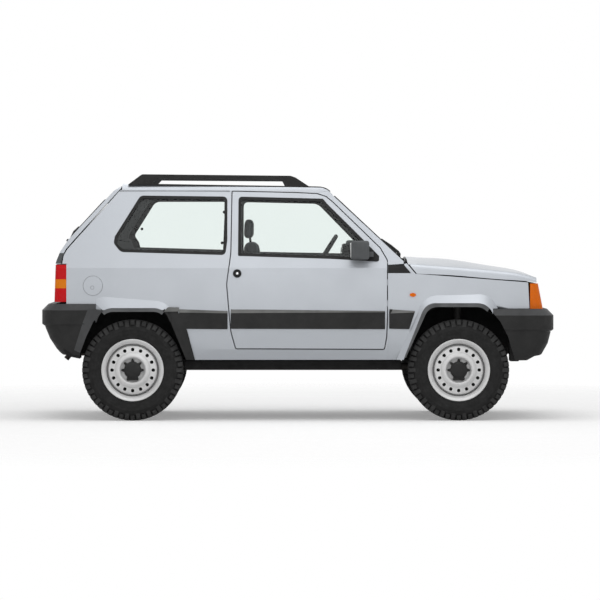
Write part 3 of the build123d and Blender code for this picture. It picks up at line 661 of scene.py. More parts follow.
# Pieces of the car.
def make_tyre(place, side):
    """All-terrain tyre: carcass with a ridged sidewall, shoulder lugs and two rows of blocks, the raised lugs
    and blocks painted lighter as a highlight.
    """
    node = f"tyre_{place}_{side}"
    low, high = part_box(node)
    radius = (high[2] - low[2]) / 2
    half = (high[1] - low[1]) / 2
    base = radius - sizes().lug_depth
    wall = [
        (0.1905, 0.069), (0.203, 0.0745), (0.212, 0.0815), (0.218, 0.0835), (0.221, 0.0825), (0.236, 0.0875),
        (0.255, half - 0.0008), (0.264, half - 0.001), (0.266, half), (0.271, half), (0.273, half - 0.0014),
        (0.288, half - 0.0045), (0.297, half - 0.0095), (0.309, half - 0.021), (base, half - 0.037),
    ]
    work = bmesh.new()
    spun(work, wall + [(r, -w) for r, w in reversed(wall)], 104)
    pitch = 2 * pi / sizes().lugs
    lug_angle = pitch * 0.72
    shoulder = [
        (0.289, half - 0.0045), (0.313, half - 0.0065), (0.330, half - 0.018), (radius, half - 0.026),
        (radius, 0.042), (base - 0.004, 0.040), (0.300, half - 0.030),
    ]
    short = [(0.302, half - 0.0055), *shoulder[1:]]
    block = [(radius, 0.034), (radius, 0.004), (base - 0.003, 0.004), (base - 0.003, 0.034)]
    for sign in (1, -1):
        for start, section in ((0.0, shoulder), (pitch, short)):
            lug = wedge(work, [(r, sign * w) for r, w in section], lug_angle)
            turned(work, only(BMVert, lug), start + (0.5 * pitch if sign < 0 else 0.0))
            repeated(work, lug, sizes().lugs // 2)
        lug = wedge(work, [(r, sign * w) for r, w in block], lug_angle)
        turned(work, only(BMVert, lug), pitch * (0.25 + 0.25 * sign))
        repeated(work, lug, sizes().lugs)
    placed(work, middle(node), SIDES[side])
    piece = finished(f"treaded_{node}", work, body_of(node), "rubber", 35)
    # Lighter rubber on the raised lugs and blocks, as a painted highlight.
    piece.data.materials.append(FINISHES["tread_rubber"])
    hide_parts(node)


HOLE_PARTS = 6


def wheel_band(work, outer, inner, front, back):
    """Ring of vent holes between two radii, with a front, a back and the walls of the holes."""
    count = sizes().wheel_holes
    before = everything(work)
    half = pi / count
    angles = [-half + 2 * half * step / HOLE_PARTS for step in range(HOLE_PARTS + 1)]
    outline = [(outer * cos(a), outer * sin(a)) for a in angles]
    outline += [(inner * cos(a), inner * sin(a)) for a in reversed(angles)]
    ring = sizes().hole_ring
    hole = []
    for x, z in outline:
        away = Vector((x - ring, z)).normalized() * sizes().hole_radius
        hole.append((ring + away.x, away.y))
    loops = []
    for points, along in ((outline, front), (hole, front), (hole, back), (outline, back)):
        loops.append(chain(work, [(x, along, z) for x, z in points], closed=True)[1])
    for first, second in zip(loops, loops[1:]):
        bmesh.ops.bridge_loops(work, edges=first + second)
    repeated(work, new_geometry(work, before), count)


def make_wheel(place, side):
    """Pressed steel wheel with a ring of round vent holes and a raised bowl, and painted shade in the groove
    round its rim.
    """
    node = f"rim_{place}_{side}"
    work = bmesh.new()
    steps = sizes().wheel_holes * HOLE_PARTS
    band_out, band_in, face, back = 0.152, 0.122, 0.054, 0.046
    outside = [
        (band_out, face), (0.159, 0.051), (0.1640, 0.046), (0.1655, 0.030), (0.1715, 0.030), (0.1735, 0.047),
        (0.179, 0.060), (0.184, 0.070), (0.191, 0.0765), (0.199, 0.0825), (0.204, 0.084), (0.207, 0.082),
        (0.207, 0.077), (0.190, 0.070), (0.190, -0.070), (0.207, -0.077), (0.207, -0.084), (0.199, -0.084),
        (0.183, -0.074), (0.183, 0.028), (0.166, 0.032), (band_out, back),
    ]
    bowl = [
        (band_in, face), (0.1185, 0.0565), (0.114, 0.0615), (0.108, 0.0655), (0.100, 0.0685), (0.093, 0.0695),
        (0.087, 0.0680), (0.082, 0.0635), (0.076, 0.056), (0.066, 0.052), (0.030, 0.052), (0.030, -0.014),
        (0.048, -0.014), (0.048, 0.038), (0.066, 0.042), (0.084, 0.056), (0.106, 0.054), (band_in, back),
    ]
    spun(work, outside, steps)
    spun(work, bowl, steps)
    turned(work, work.verts, pi / sizes().wheel_holes)
    wheel_band(work, band_out, band_in, face, back)
    # Painted shade: faces in the groove round the rim take the near-black finish, as the shade in that
    # recess.
    for face in work.faces:
        centre = face.calc_center_median()
        reach = Vector((centre.x, centre.z)).length
        if 0.1642 < reach < 0.1732 and centre.y > 0.0295 and centre.y < 0.046:
            face.material_index = 1
    placed(work, middle(node), SIDES[side])
    piece = finished(f"pressed_{node}", work, body_of(node), "wheel_steel", 50)
    piece.data.materials.append(FINISHES["drum_iron_and_groove_shade"])
    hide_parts(node)
    work = bmesh.new()
    spun(work, [(0.050, 0.036), (0.060, 0.0375), (0.110, 0.0375), (0.164, 0.0275)], 64)
    bmesh.ops.solidify(work, geom=list(work.faces), thickness=0.002)
    placed(work, middle(node), SIDES[side])
    finished(f"drum_{place}_{side}", work, body_of(node), "drum_iron_and_groove_shade", 40)


def make_hub_cap(place, side):
    """Black hub cap with bolted tabs round it, a flat foot and a plain domed middle."""
    node = f"rim_{place}_{side}"
    work = bmesh.new()
    reach_in, reach_out = sizes().cap_radius - 0.013, sizes().cap_radius + 0.007
    tabs = (0, 48, 90, 152, 208, 270, 312)
    points = []
    for step in range(180):
        angle = 2 * step
        near = min(abs((angle - tab + 180) % 360 - 180) for tab in tabs)
        reach = reach_in + (reach_out - reach_in) * max(0.0, cos(radians(min(near, 11) * 90 / 11)))
        if 152 <= angle <= 208:
            reach = max(reach, reach_out * cos(radians(28)) / cos(radians(angle - 180)))
        points.append((reach * sin(radians(angle)), 0.050, reach * cos(radians(angle))))
    verts, _ = chain(work, points, closed=True)
    grown = bmesh.ops.extrude_face_region(work, geom=[work.faces.new(verts)])
    bmesh.ops.translate(work, verts=only(BMVert, grown["geom"]), vec=(0, 0.022, 0))
    rounded_edges(work, only(BMEdge, grown["geom"]), 0.0015, 1)
    dome = [
        (0.0545, 0.071), (0.0535, 0.0775), (0.050, 0.0800), (0.036, 0.0815), (0.030, 0.0825),
        (0.0005, 0.0830),
    ]
    spun(work, dome, 48)
    for tab in tabs:
        place_x, place_z = 0.066 * sin(radians(tab)), 0.066 * cos(radians(tab))
        disc(work, (place_x, 0.0725, place_z), ACROSS, 0.0048, 0.006, 0.001, 12)
    placed(work, middle(node), SIDES[side])
    finished(f"hub_cap_{place}_{side}", work, body_of(node), "black_plastic", 30)


def make_mirror_glass(side):
    """Mirror glass in the back of the door mirror's housing."""
    work = bmesh.new()
    rounded_block(work, (0.3465, 0.757, 1.086), (0.351, 0.848, 1.184), 0.002)
    mirrored_if_right(work, side)
    finished(f"mirror_glass_{side}", work, f"door_{side}", "bright")


def mirrored_if_right(work, side):
    """Turn a left-hand piece into its right-hand twin where it is one."""
    if SIDES[side] < 0:
        bmesh.ops.scale(work, verts=work.verts, vec=(1, -1, 1))


def tube(work, points, radius, segments=12):
    """Round bar through a few points, closed at its ends."""
    points = [Vector(point) for point in points]
    loops = []
    for step, point in enumerate(points):
        ahead = points[min(step + 1, len(points) - 1)] - points[max(step - 1, 0)]
        turn = Vector(UP).rotation_difference(ahead).to_matrix().to_4x4()
        made = bmesh.ops.create_circle(
            work, cap_ends=step in (0, len(points) - 1), segments=segments, radius=radius,
            matrix=Matrix.Translation(point) @ turn)
        ring = set(made["verts"])
        loops.append([e for e in work.edges if e.verts[0] in ring and e.verts[1] in ring])
    for first, second in zip(loops, loops[1:]):
        bmesh.ops.bridge_loops(work, edges=first + second)


def side_prism(work, outline, y_from, y_to, edge, segments=3):
    """A side outline carried across the car, with rounded edges."""
    before = everything(work)
    verts, _ = chain(work, [(x, y_from, z) for x, z in outline], closed=True)
    grown = bmesh.ops.extrude_face_region(work, geom=[work.faces.new(verts)])
    bmesh.ops.translate(work, verts=only(BMVert, grown["geom"]), vec=(0, y_to - y_from, 0))
    rounded_edges(work, only(BMEdge, new_geometry(work, before)), edge, segments)


def frame_ring(work, corners, width, height, rounding):
    """Flat rubber frame round a pane given by its corners, standing out along its normal."""
    face = work.faces.new([work.verts.new(corner) for corner in corners])
    face.normal_update()
    bmesh.ops.bevel(
        work, geom=list(face.verts), offset=rounding, affect="VERTICES", segments=5, profile=0.5, material=-1)
    pane = list(work.faces)
    bmesh.ops.inset_region(work, faces=pane, thickness=width, use_even_offset=True, use_boundary=True)
    bmesh.ops.delete(work, geom=pane, context="FACES_ONLY")
    bmesh.ops.solidify(work, geom=list(work.faces), thickness=height)
    rounded_edges(work, [e for e in work.edges if e.calc_face_angle(0.0) > 1.0], height * 0.35, 2)


SILL_Z, WIDEST_Z, BELT_Z = 0.475, 0.745, 1.015


def skin(x, z):
    """Half-width of the body's side at a place in the side view."""
    ahead = max(0.0, x - 0.3) / 1.404
    behind = max(0.0, -0.5 - x) / 1.204
    draw_in = 0.055 * ahead ** 2 + 0.030 * behind ** 2
    above = z - WIDEST_Z
    if z < SILL_Z:
        half = 0.712 + 0.011 * (z - 0.405) / 0.070
    elif z < BELT_Z:
        half = 0.7302 - 0.103 * above ** 2 + 0.0013 * max(0.0, above) / 0.27
    else:
        half = 0.726 - 0.132 * (z - BELT_Z) / 0.505
    return half - draw_in


def rounded_corners(corners, radii, steps=6):
    """Points of a closed side outline, each corner turned into an arc."""
    points = []
    for here, corner in enumerate(corners):
        spot = Vector(corner)
        to_last = (Vector(corners[here - 1]) - spot).normalized()
        to_next = (Vector(corners[(here + 1) % len(corners)]) - spot).normalized()
        start, end = spot + to_last * radii[here], spot + to_next * radii[here]
        for step in range(steps + 1):
            t = step / steps
            points.append(start * (1 - t) ** 2 + spot * 2 * t * (1 - t) + end * t ** 2)
    return points


def sheet(work, loops, thickness):
    """Sheet of some thickness between two rows of edges."""
    bmesh.ops.bridge_loops(work, edges=loops[0] + loops[1])
    bmesh.ops.recalc_face_normals(work, faces=work.faces)
    bmesh.ops.solidify(work, geom=list(work.faces), thickness=thickness)


def skin_ring(work, outer, inner, depth, thickness):
    """Ring between two side outlines with as many points, at a depth below the skin."""
    loops = []
    for points in (outer, inner):
        loops.append(chain(work, [(x, skin(x, z) - depth, z) for x, z in points], closed=True)[1])
    sheet(work, loops, thickness)


DOOR_PANE = (
    [(-0.396, 1.491), (0.181, 1.462), (0.407, 1.232), (0.539, 1.066), (-0.399, 1.095)],
    [(-0.368, 1.463), (0.147, 1.4515), (0.377, 1.217), (0.486, 1.102), (-0.370, 1.118)],
    [0.035, 0.035, 0.020, 0.012, 0.020],
)
QUARTER_PANE = (
    [(-1.050, 1.498), (-0.470, 1.491), (-0.483, 1.101), (-1.180, 1.121), (-1.226, 1.180), (-1.219, 1.225)],
    [(-0.983, 1.465), (-0.486, 1.465), (-0.499, 1.130), (-1.093, 1.1475), (-1.0996, 1.183), (-1.132, 1.2295)],
    [0.035, 0.014, 0.008, 0.008, 0.012, 0.020],
)


def make_window_trims(side):
    """Inner linings round the side windows, with the clips of the hinged quarter pane."""
    for name, body, (outer, inner, radii) in (
        (f"door_window_lining_{side}", f"door_{side}", DOOR_PANE),
        (f"quarter_window_lining_{side}", "body", QUARTER_PANE),
    ):
        work = bmesh.new()
        near = rounded_corners(outer, [0.03] * len(outer))
        skin_ring(work, near, rounded_corners(inner, radii), 0.026, 0.004)
        mirrored_if_right(work, side)
        finished(name, work, body, "dash_vinyl", 30)
    work = bmesh.new()
    for x, z in ((-0.492, 1.387), (-0.505, 1.182), (-1.080, 1.2755)):
        disc(work, (x, skin(x, z) - 0.008, z), (0, 1, 0.26), 0.0095, 0.010, 0.002, 20)
    mirrored_if_right(work, side)
    finished(f"quarter_window_clips_{side}", work, "body", "black_plastic")


def make_rear_flange(side):
    """Moulded flange along the front edge of the rear bumper, round the arch."""
    work = bmesh.new()
    behind = [
        (-1.345, 0.7420, 0.7435), (-1.397, 0.7450, 0.7365), (-1.428, 0.7450, 0.6565), (-1.468, 0.7300, 0.532),
        (-1.488, 0.7210, 0.470),
    ]
    ahead = [
        (-1.304, 0.7455, 0.7365), (-1.318, 0.7470, 0.7245), (-1.360, 0.7470, 0.6565), (-1.406, 0.7345, 0.560),
        (-1.448, 0.7200, 0.452),
    ]
    loops = [chain(work, points)[1] for points in (behind, ahead)]
    sheet(work, loops, 0.006)
    mirrored_if_right(work, side)
    finished(f"rear_arch_flange_{side}", work, "body", "edge_plastic", 30)


def make_side_lines(side):
    """Sill rail under the body side, and a thin black strip over the windows as painted shade in the drip
    gutter's crease.
    """
    work = bmesh.new()
    rounded_block(work, (-0.760, 0.560, 0.335), (0.690, 0.640, 0.402), 0.010)
    mirrored_if_right(work, side)
    finished(f"sill_rail_{side}", work, "body", "underbody")
    # Painted shade: a thin black strip along the crease of the drip gutter.
    work = bmesh.new()
    ends = [(-1.190, 1.5265), (-0.452, 1.5250)]
    for lift in (0.0, 0.0032):
        chain(work, [(x, skin(x, z) + 0.0006 - 0.26 * lift, z + lift) for x, z in ends])
    bmesh.ops.bridge_loops(work, edges=list(work.edges))
    bmesh.ops.solidify(work, geom=list(work.faces), thickness=0.003)
    mirrored_if_right(work, side)
    finished(f"drip_crease_shade_{side}", work, "body", "seal_rubber")


def make_arch_liners(side):
    """Dark liners between the wheels and the bumpers, the valance and the tail lamp's cover."""
    work = bmesh.new()
    rounded_block(work, (1.424, 0.420, 0.405), (1.436, 0.690, 0.735), 0.003)
    side_prism(work, [(1.411, 0.394), (1.470, 0.394), (1.470, 0.480), (1.409, 0.520)], 0.560, 0.700, 0.006)
    rounded_block(work, (-1.470, 0.430, 0.420), (-1.458, 0.690, 0.765), 0.003)
    valance = [(-1.560, 0.470), (-1.535, 0.430), (-1.448, 0.412), (-1.448, 0.470)]
    side_prism(work, valance, 0.500, 0.712, 0.004)
    rounded_block(work, (-1.536, 0.470, 0.778), (-1.526, 0.655, 1.040), 0.003)
    mirrored_if_right(work, side)
    finished(f"arch_liners_{side}", work, "body", "underbody")


ARCHES = {
    "front": (
        [(0.7073, 0.420), (0.850, 0.782), (1.262, 0.782), (1.3008, 0.700)], [0, 0.075, 0.070, 0],
        FRONT_AXLE_X, 0.0437, 0.744),
    "rear": (
        [(-1.3412, 0.660), (-1.309, 0.750), (-0.885, 0.750), (-0.848, 0.660)], [0, 0.0775, 0.074, 0],
        REAR_AXLE_X, 0.0, 0.722),
}
ARCH_MIDDLE_Z = 0.450
ARCH_STEPS = 12
WHEEL_HOUSE_RADIUS = 0.438


def arch_edge(place):
    """Points along a wheel arch in the side view, and the point that they stand round."""
    corners, radii, axle_x = ARCHES[place][:3]
    points = rounded_corners(corners, radii, ARCH_STEPS)[ARCH_STEPS:-ARCH_STEPS]
    return points, Vector((axle_x, ARCH_MIDDLE_Z))


def make_arch_lips(place, side):
    """Return flange inside the flare of a wheel arch, painted grey as the shade it lies in."""
    axle_x, turn, low = ARCHES[place][2:]
    edge, hub = arch_edge(place)
    edge = [spot for spot in edge if spot.y > low or (place == "front" and spot.x < axle_x)]
    work = bmesh.new()
    loops = []
    for inner in (False, True):
        points = []
        for spot in edge:
            out = (spot - hub).normalized()
            width = 0.008 + 0.018 * min(1.0, max(0.0, (spot.y - 0.50) / 0.22))
            reach = spot - out * width if inner else spot + out * 0.003
            points.append((reach.x, (0.708 if inner else 0.732) - turn * (reach.x - axle_x), reach.y))
        loops.append(chain(work, points)[1])
    sheet(work, loops, 0.003)
    mirrored_if_right(work, side)
    finished(f"{place}_arch_lip_{side}", work, "body", "arch_lip_shade", 30)


def make_arch_corners(side):
    """Moulded edges that carry the black flanges round the corners of the rear arch."""
    edge, hub = arch_edge("rear")
    for name, finish, ahead in (("rear", "edge_plastic", False), ("front", "black_plastic", True)):
        run = [spot for spot in edge if spot.y < 0.735 and (spot.x > REAR_AXLE_X) == ahead]
        work = bmesh.new()
        loops = []
        for shift in (0.014, -0.004):
            points = [spot + (spot - hub).normalized() * shift for spot in run]
            loops.append(chain(work, [(x, 0.7440, z) for x, z in points])[1])
        sheet(work, loops, 0.008)
        mirrored_if_right(work, side)
        finished(f"arch_corner_{name}_{side}", work, "body", finish, 30)


def make_wheel_house(side):
    """Sheet over a front wheel between the inner wing and the wing, open round the strut."""
    work = bmesh.new()
    for first, last, inner in ((32, 73.5, 0.3525), (106.5, 158, 0.3525), (72, 108, 0.5650)):
        loops = []
        for outer in (False, True):
            points = []
            for step in range(13):
                angle = radians(first + (last - first) * step / 12)
                x = FRONT_AXLE_X + WHEEL_HOUSE_RADIUS * cos(angle)
                z = HUB_Z + WHEEL_HOUSE_RADIUS * sin(angle)
                points.append((x, skin(x, z) - 0.022 if outer else inner, z))
            loops.append(chain(work, points)[1])
        bmesh.ops.bridge_loops(work, edges=loops[0] + loops[1])
    bmesh.ops.recalc_face_normals(work, faces=work.faces)
    bmesh.ops.solidify(work, geom=list(work.faces), thickness=0.003)
    mirrored_if_right(work, side)
    finished(f"wheel_house_{side}", work, "body", "underbody", 30)


def make_strip_end(side):
    """Paler end of the rubbing strip where it runs into the rear arch, painted lighter as the lit top of the
    strip.
    """
    work = bmesh.new()
    outline = [(-0.893, 0.7250), (-0.864, 0.7560), (-0.790, 0.7540), (-0.790, 0.7262)]
    side_prism(work, outline, 0.726, 0.7462, 0.003)
    mirrored_if_right(work, side)
    finished(f"strip_end_{side}", work, "body", "strip_top_highlight", 30)


def make_scuttle_seal():
    """Rubber strip on the scuttle behind the bonnet."""
    work = bmesh.new()
    side_prism(work, [(0.696, 1.058), (0.709, 1.050), (0.709, 1.077), (0.700, 1.080)], -0.600, 0.600, 0.003)
    finished("scuttle_seal", work, "body", "seal_rubber")


def make_roof_strip(side):
    """Rubber strip along the roof's edge, from the rail to the windscreen."""
    work = bmesh.new()
    line = [
        (0.050, 1.5530), (0.100, 1.5522), (0.150, 1.5508), (0.175, 1.5450), (0.1935, 1.5372), (0.214, 1.5215),
    ]
    tube(work, [(x, 0.566, z + 0.001) for x, z in line], 0.0065)
    mirrored_if_right(work, side)
    finished(f"roof_strip_{side}", work, "body", "seal_rubber")


def make_wiper_arm():
    """Sprung arm and rubber blade of the windscreen wiper."""
    work = bmesh.new()
    arm = [(0.698, 1.070), (0.6975, 1.100), (0.690, 1.119), (0.640, 1.160), (0.572, 1.205)]
    tube(work, [(x, -0.013, z) for x, z in arm], 0.007)
    disc(work, (0.692, -0.013, 1.104), ACROSS, 0.0135, 0.030, 0.003, 20)
    finished("wiper_arm", work, "body", "black_plastic")


def make_fuel_flap():
    """Shut line and lock of the round filler flap on the right-hand side."""
    work = bmesh.new()
    for centre_x, centre_z, outer in ((-1.363, 0.898, 0.0665), (-1.367, 0.885, 0.0130)):
        edges = []
        for reach in (outer, outer - 0.0022):
            turns = [2 * pi * step / 48 for step in range(48)]
            points = [(centre_x + reach * cos(t), centre_z + reach * sin(t)) for t in turns]
            edges += chain(work, [(x, -skin(x, z) - 0.0008, z) for x, z in points], closed=True)[1]
        bmesh.ops.bridge_loops(work, edges=edges)
    bmesh.ops.recalc_face_normals(work, faces=work.faces)
    bmesh.ops.solidify(work, geom=list(work.faces), thickness=0.0015)
    finished("fuel_flap_line", work, "body", "flap_line")


# Each pad: side outline, its two ends across the car, rounding, voxel size and largest swelling.
SEAT_PADS = {
    "cushion": (
        [(-0.318, 0.574), (0.176, 0.612), (0.180, 0.678), (-0.250, 0.650)],
        0.142, 0.598, 0.028, 0.007, 0.012),
    "backrest": (
        [(-0.256, 0.655), (-0.182, 0.662), (-0.280, 1.200), (-0.360, 1.190)],
        0.142, 0.598, 0.026, 0.007, 0.011),
    "headrest": (
        [(-0.304, 1.212), (-0.301, 1.339), (-0.351, 1.341), (-0.357, 1.212)],
        0.258, 0.482, 0.015, 0.006, 0.005),
}
BENCH_PADS = {
    "bench_cushion": (
        [(-1.000, 0.608), (-0.570, 0.608), (-0.568, 0.690), (-1.000, 0.684)],
        -0.430, 0.430, 0.026, 0.009, 0.012),
    "bench_back": (
        [(-1.003, 0.690), (-0.938, 0.690), (-1.008, 1.142), (-1.072, 1.142)],
        -0.430, 0.430, 0.024, 0.009, 0.011),
}
PAD_PRESSURE = 4.0
PAD_FRAMES = 20
PAD_EASING = 8
SEAT_CHANNELS = (0.235, 0.325, 0.415, 0.505)
BENCH_CHANNELS = (-0.29, -0.145, 0.0, 0.145, 0.29)
CHANNEL_DEPTH, CHANNEL_WIDTH = 0.007, 0.012


def swollen(piece, voxel, cap):
    """Swell a pad by cloth pressure, each point no further than the cap, and apply the result."""
    voxels = piece.modifiers.new("voxels", "REMESH")
    voxels.mode = "VOXEL"
    voxels.voxel_size = voxel
    apply_modifiers(piece)
    rest = [vert.co.copy() for vert in piece.data.vertices]
    cloth = piece.modifiers.new("filling", "CLOTH")
    cloth.settings.use_pressure = True
    cloth.settings.uniform_pressure_force = PAD_PRESSURE
    cloth.settings.effector_weights.gravity = 0
    cloth.settings.quality = 4
    cloth.point_cache.frame_start = 1
    cloth.point_cache.frame_end = PAD_FRAMES
    for step in range(1, PAD_FRAMES + 1):
        bpy.context.scene.frame_set(step)
    apply_modifiers(piece)
    bpy.context.scene.frame_set(1)
    for vert, start in zip(piece.data.vertices, rest):
        move = vert.co - start
        if move.length > cap:
            vert.co = start + move * (cap / move.length)
    eased = bmesh.new()
    eased.from_mesh(piece.data)
    for _ in range(PAD_EASING):
        bmesh.ops.smooth_vert(
            eased, verts=eased.verts, factor=0.5, use_axis_x=True, use_axis_y=True, use_axis_z=True)
    eased.to_mesh(piece.data)
    eased.free()


def apply_modifiers(piece):
    """Replace a piece's mesh by what its modifiers give."""
    shown = piece.evaluated_get(bpy.context.evaluated_depsgraph_get())
    mesh = bpy.data.meshes.new_from_object(shown)
    piece.modifiers.clear()
    piece.data = mesh


def sew_channels(piece, channels):
    """Press sewn channels into a pad along planes of constant Y."""
    middle_point = sum((vert.co for vert in piece.data.vertices), Vector()) / len(piece.data.vertices)
    for vert in piece.data.vertices:
        for y in channels:
            press = CHANNEL_DEPTH * max(0.0, 1 - abs(vert.co.y - y) / CHANNEL_WIDTH)
            vert.co += (middle_point - vert.co).normalized() * press


def make_pad(name, pad, channels, nodes):
    """One padded piece of a seat."""
    outline, y_from, y_to, edge, voxel, swelling = pad
    work = bmesh.new()
    side_prism(work, outline, y_from, y_to, edge)
    piece = finished(name, work, "body", "cloth", 60)
    swollen(piece, voxel, swelling)
    sew_channels(piece, channels)
    piece.data.materials.clear()
    piece.data.materials.append(FINISHES["cloth"])
    piece.data.shade_smooth()
    smooth = piece.modifiers.new("smooth", "SUBSURF")
    smooth.levels = 1
    smooth.render_levels = 1
    if nodes:
        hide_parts(*nodes)
    return piece


def make_seat_frame(side):
    """Runners, posts and side hinges under a front seat's pads."""
    work = bmesh.new()
    for y in (0.185, 0.555):
        rounded_block(work, (-0.300, y - 0.014, 0.396), (0.160, y + 0.014, 0.424), 0.004)
        tube(work, [(-0.24, y, 0.415), (-0.27, y, 0.59)], 0.012)
        tube(work, [(0.10, y, 0.415), (0.13, y, 0.62)], 0.012)
    for y in (0.322, 0.418):
        tube(work, [(-0.318, y, 1.180), (-0.325, y, 1.245)], 0.006)
    mirrored_if_right(work, side)
    return finished(f"seat_frame_{side}", work, "body", "cast_iron")


def make_seats():
    """Two front seats and the rear bench, all padded."""
    for part, pad in SEAT_PADS.items():
        first = make_pad(f"seat_{part}_left", pad, SEAT_CHANNELS if part != "headrest" else (), ())
        twin = first.copy()
        twin.data = first.data.copy()
        twin.name = f"seat_{part}_right"
        twin.data.transform(Matrix.Translation((0, -(pad[1] + pad[2]), 0)))
        bpy.context.scene.collection.objects.link(twin)
        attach(twin, "body")
        if part == "cushion":
            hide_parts("seat_left")
            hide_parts("seat_right")
    for side in SIDES:
        make_seat_frame(side)
    for part, pad in BENCH_PADS.items():
        make_pad(part, pad, BENCH_CHANNELS, ("rear_seat",) if part == "bench_cushion" else ())


def make_window_seals():
    """Rubber frames round the windscreen and the rear window."""
    work = bmesh.new()
    lift = Vector((0.684, 0, 0.729)) * 0.0012
    corners = [
        (0.692, 0.674, 1.0675), (0.692, -0.674, 1.0675), (0.240, -0.567, 1.4925), (0.240, 0.567, 1.4925),
    ]
    frame_ring(work, [Vector(corner) + lift for corner in corners], 0.020, 0.007, 0.05)
    finished("windscreen_seal", work, "body", "seal_rubber")
    work = bmesh.new()
    out = Vector((-0.735, 0, 0.678))
    along = Vector((0.678, 0, 0.735))
    centre = Vector((-1.392, 0, 1.352)) + out * 0.0005
    spots = [(-0.16, -0.565), (-0.16, 0.565), (0.16, 0.565), (0.16, -0.565)]
    corners = [centre + along * up + Vector((0, y, 0)) for up, y in spots]
    frame_ring(work, corners, 0.024, 0.007, 0.05)
    finished("rear_window_seal", work, "tailgate", "seal_rubber")


def make_headlamps():
    """Headlamp units: black housing, bright bowl with its bulb, and a fluted lens."""
    low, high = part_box("headlamps")
    back, rake = low[0], 0.033 / 0.169
    y_in, y_out = 0.4303, high[1]
    for side in SIDES:
        work = bmesh.new()
        made = bmesh.ops.create_cube(work, size=1)
        for vert in made["verts"]:
            z = low[2] if vert.co.z < 0 else high[2]
            front = high[0] - 0.005 - (z - low[2]) * rake
            vert.co = (front if vert.co.x > 0 else back, y_in if vert.co.y < 0 else y_out, z)
        face = [f for f in work.faces if f.calc_center_median().x > 1.6]
        bmesh.ops.inset_region(work, faces=face, thickness=0.007, use_even_offset=True)
        bmesh.ops.inset_region(work, faces=face, thickness=0.003, depth=-0.026, use_even_offset=True)
        mirrored_if_right(work, side)
        housing = finished(f"headlamp_housing_{side}", work, "body", "black_plastic", 30)
        if side == "left":
            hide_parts("headlamps")
        work = bmesh.new()
        middle_y, middle_z = (y_in + y_out) / 2, (low[2] + high[2]) / 2
        bowl = [
            (0.009, 0.000), (0.020, 0.001), (0.040, 0.006), (0.058, 0.0135), (0.066, 0.018), (0.069, 0.018),
        ]
        spun(work, bowl, 48)
        disc(work, (0, 0.006, 0), ACROSS, 0.011, 0.022, 0.003, 24)
        turned(work, work.verts, -pi / 2, "Z")
        bmesh.ops.translate(work, verts=work.verts, vec=(1.5805, middle_y, middle_z))
        mirrored_if_right(work, side)
        finished(f"headlamp_bowl_{side}", work, "body", "bright", 50)
        work = bmesh.new()
        made = bmesh.ops.create_cube(work, size=1)
        for vert in made["verts"]:
            z = low[2] + 0.003 if vert.co.z < 0 else high[2] - 0.003
            front = high[0] - (z - low[2]) * rake - (0.0 if vert.co.x > 0 else 0.0045)
            vert.co = (front, y_in + 0.003 if vert.co.y < 0 else y_out - 0.003, z)
        rounded_edges(work, list(work.edges), 0.002, 2)
        mirrored_if_right(work, side)
        finished(f"headlamp_lens_{side}", work, "body", "clear_lens", 30)


def make_radiator():
    """Finned radiator, the grille and undertray in front of it, and the gutters beside the bonnet."""
    work = bmesh.new()
    rounded_block(work, (1.500, -0.320, 0.5003), (1.530, 0.320, 0.840), 0.006)
    for step in range(22):
        z = 0.515 + step * 0.0145
        rounded_block(work, (1.5295, -0.305, z), (1.536, 0.305, z + 0.006), 0.001, 1)
    finished("radiator", work, "body", "cast_iron")
    work = bmesh.new()
    side_prism(work, [(1.596, 0.440), (1.604, 0.440), (1.640, 0.585), (1.632, 0.585)], -0.420, 0.420, 0.002)
    rounded_block(work, (1.500, -0.440, 0.428), (1.606, 0.440, 0.4395), 0.003)
    for step in range(5):
        z = 0.482 + 0.0165 * step
        x = 1.617 + 0.25 * (z - 0.482)
        rounded_block(work, (x, -0.330, z), (x + 0.014, 0.330, z + 0.005), 0.001, 1)
    finished("bumper_grille", work, "body", "black_plastic")
    for side in SIDES:
        work = bmesh.new()
        gutter = [(0.800, 0.925), (0.800, 0.985), (1.525, 0.930), (1.525, 0.870)]
        side_prism(work, gutter, 0.632, 0.642, 0.003)
        mirrored_if_right(work, side)
        finished(f"bonnet_gutter_{side}", work, "body", "underbody")


def make_engine_top():
    """Rocker cover with its filler cap, and the round air filter with its intake."""
    work = bmesh.new()
    rounded_block(work, (0.815, -0.230, 0.818), (0.975, 0.200, 0.870), 0.014)
    for y in (-0.19, -0.15, -0.11):
        rounded_block(work, (0.835, y - 0.008, 0.866), (0.955, y + 0.008, 0.876), 0.003)
    rounded_block(work, (0.985, -0.180, 0.640), (1.012, 0.180, 0.780), 0.010)
    finished("rocker_cover", work, "body", "cast_alloy")
    work = bmesh.new()
    disc(work, (0.905, 0.065, 0.902), UP, 0.128, 0.066, 0.010, 56)
    disc(work, (0.905, 0.065, 0.938), UP, 0.112, 0.010, 0.004, 56)
    disc(work, (0.905, 0.065, 0.946), UP, 0.012, 0.014, 0.003, 20)
    disc(work, (0.895, -0.205, 0.878), UP, 0.022, 0.026, 0.005, 32)
    intake = [(1.000, 0.110, 0.900), (1.120, 0.150, 0.902), (1.280, 0.215, 0.890), (1.400, 0.240, 0.868)]
    tube(work, intake, 0.030, 20)
    finished("air_filter", work, "body", "black_plastic")


STRUT_Y = 0.450
STUD_RING = 0.048


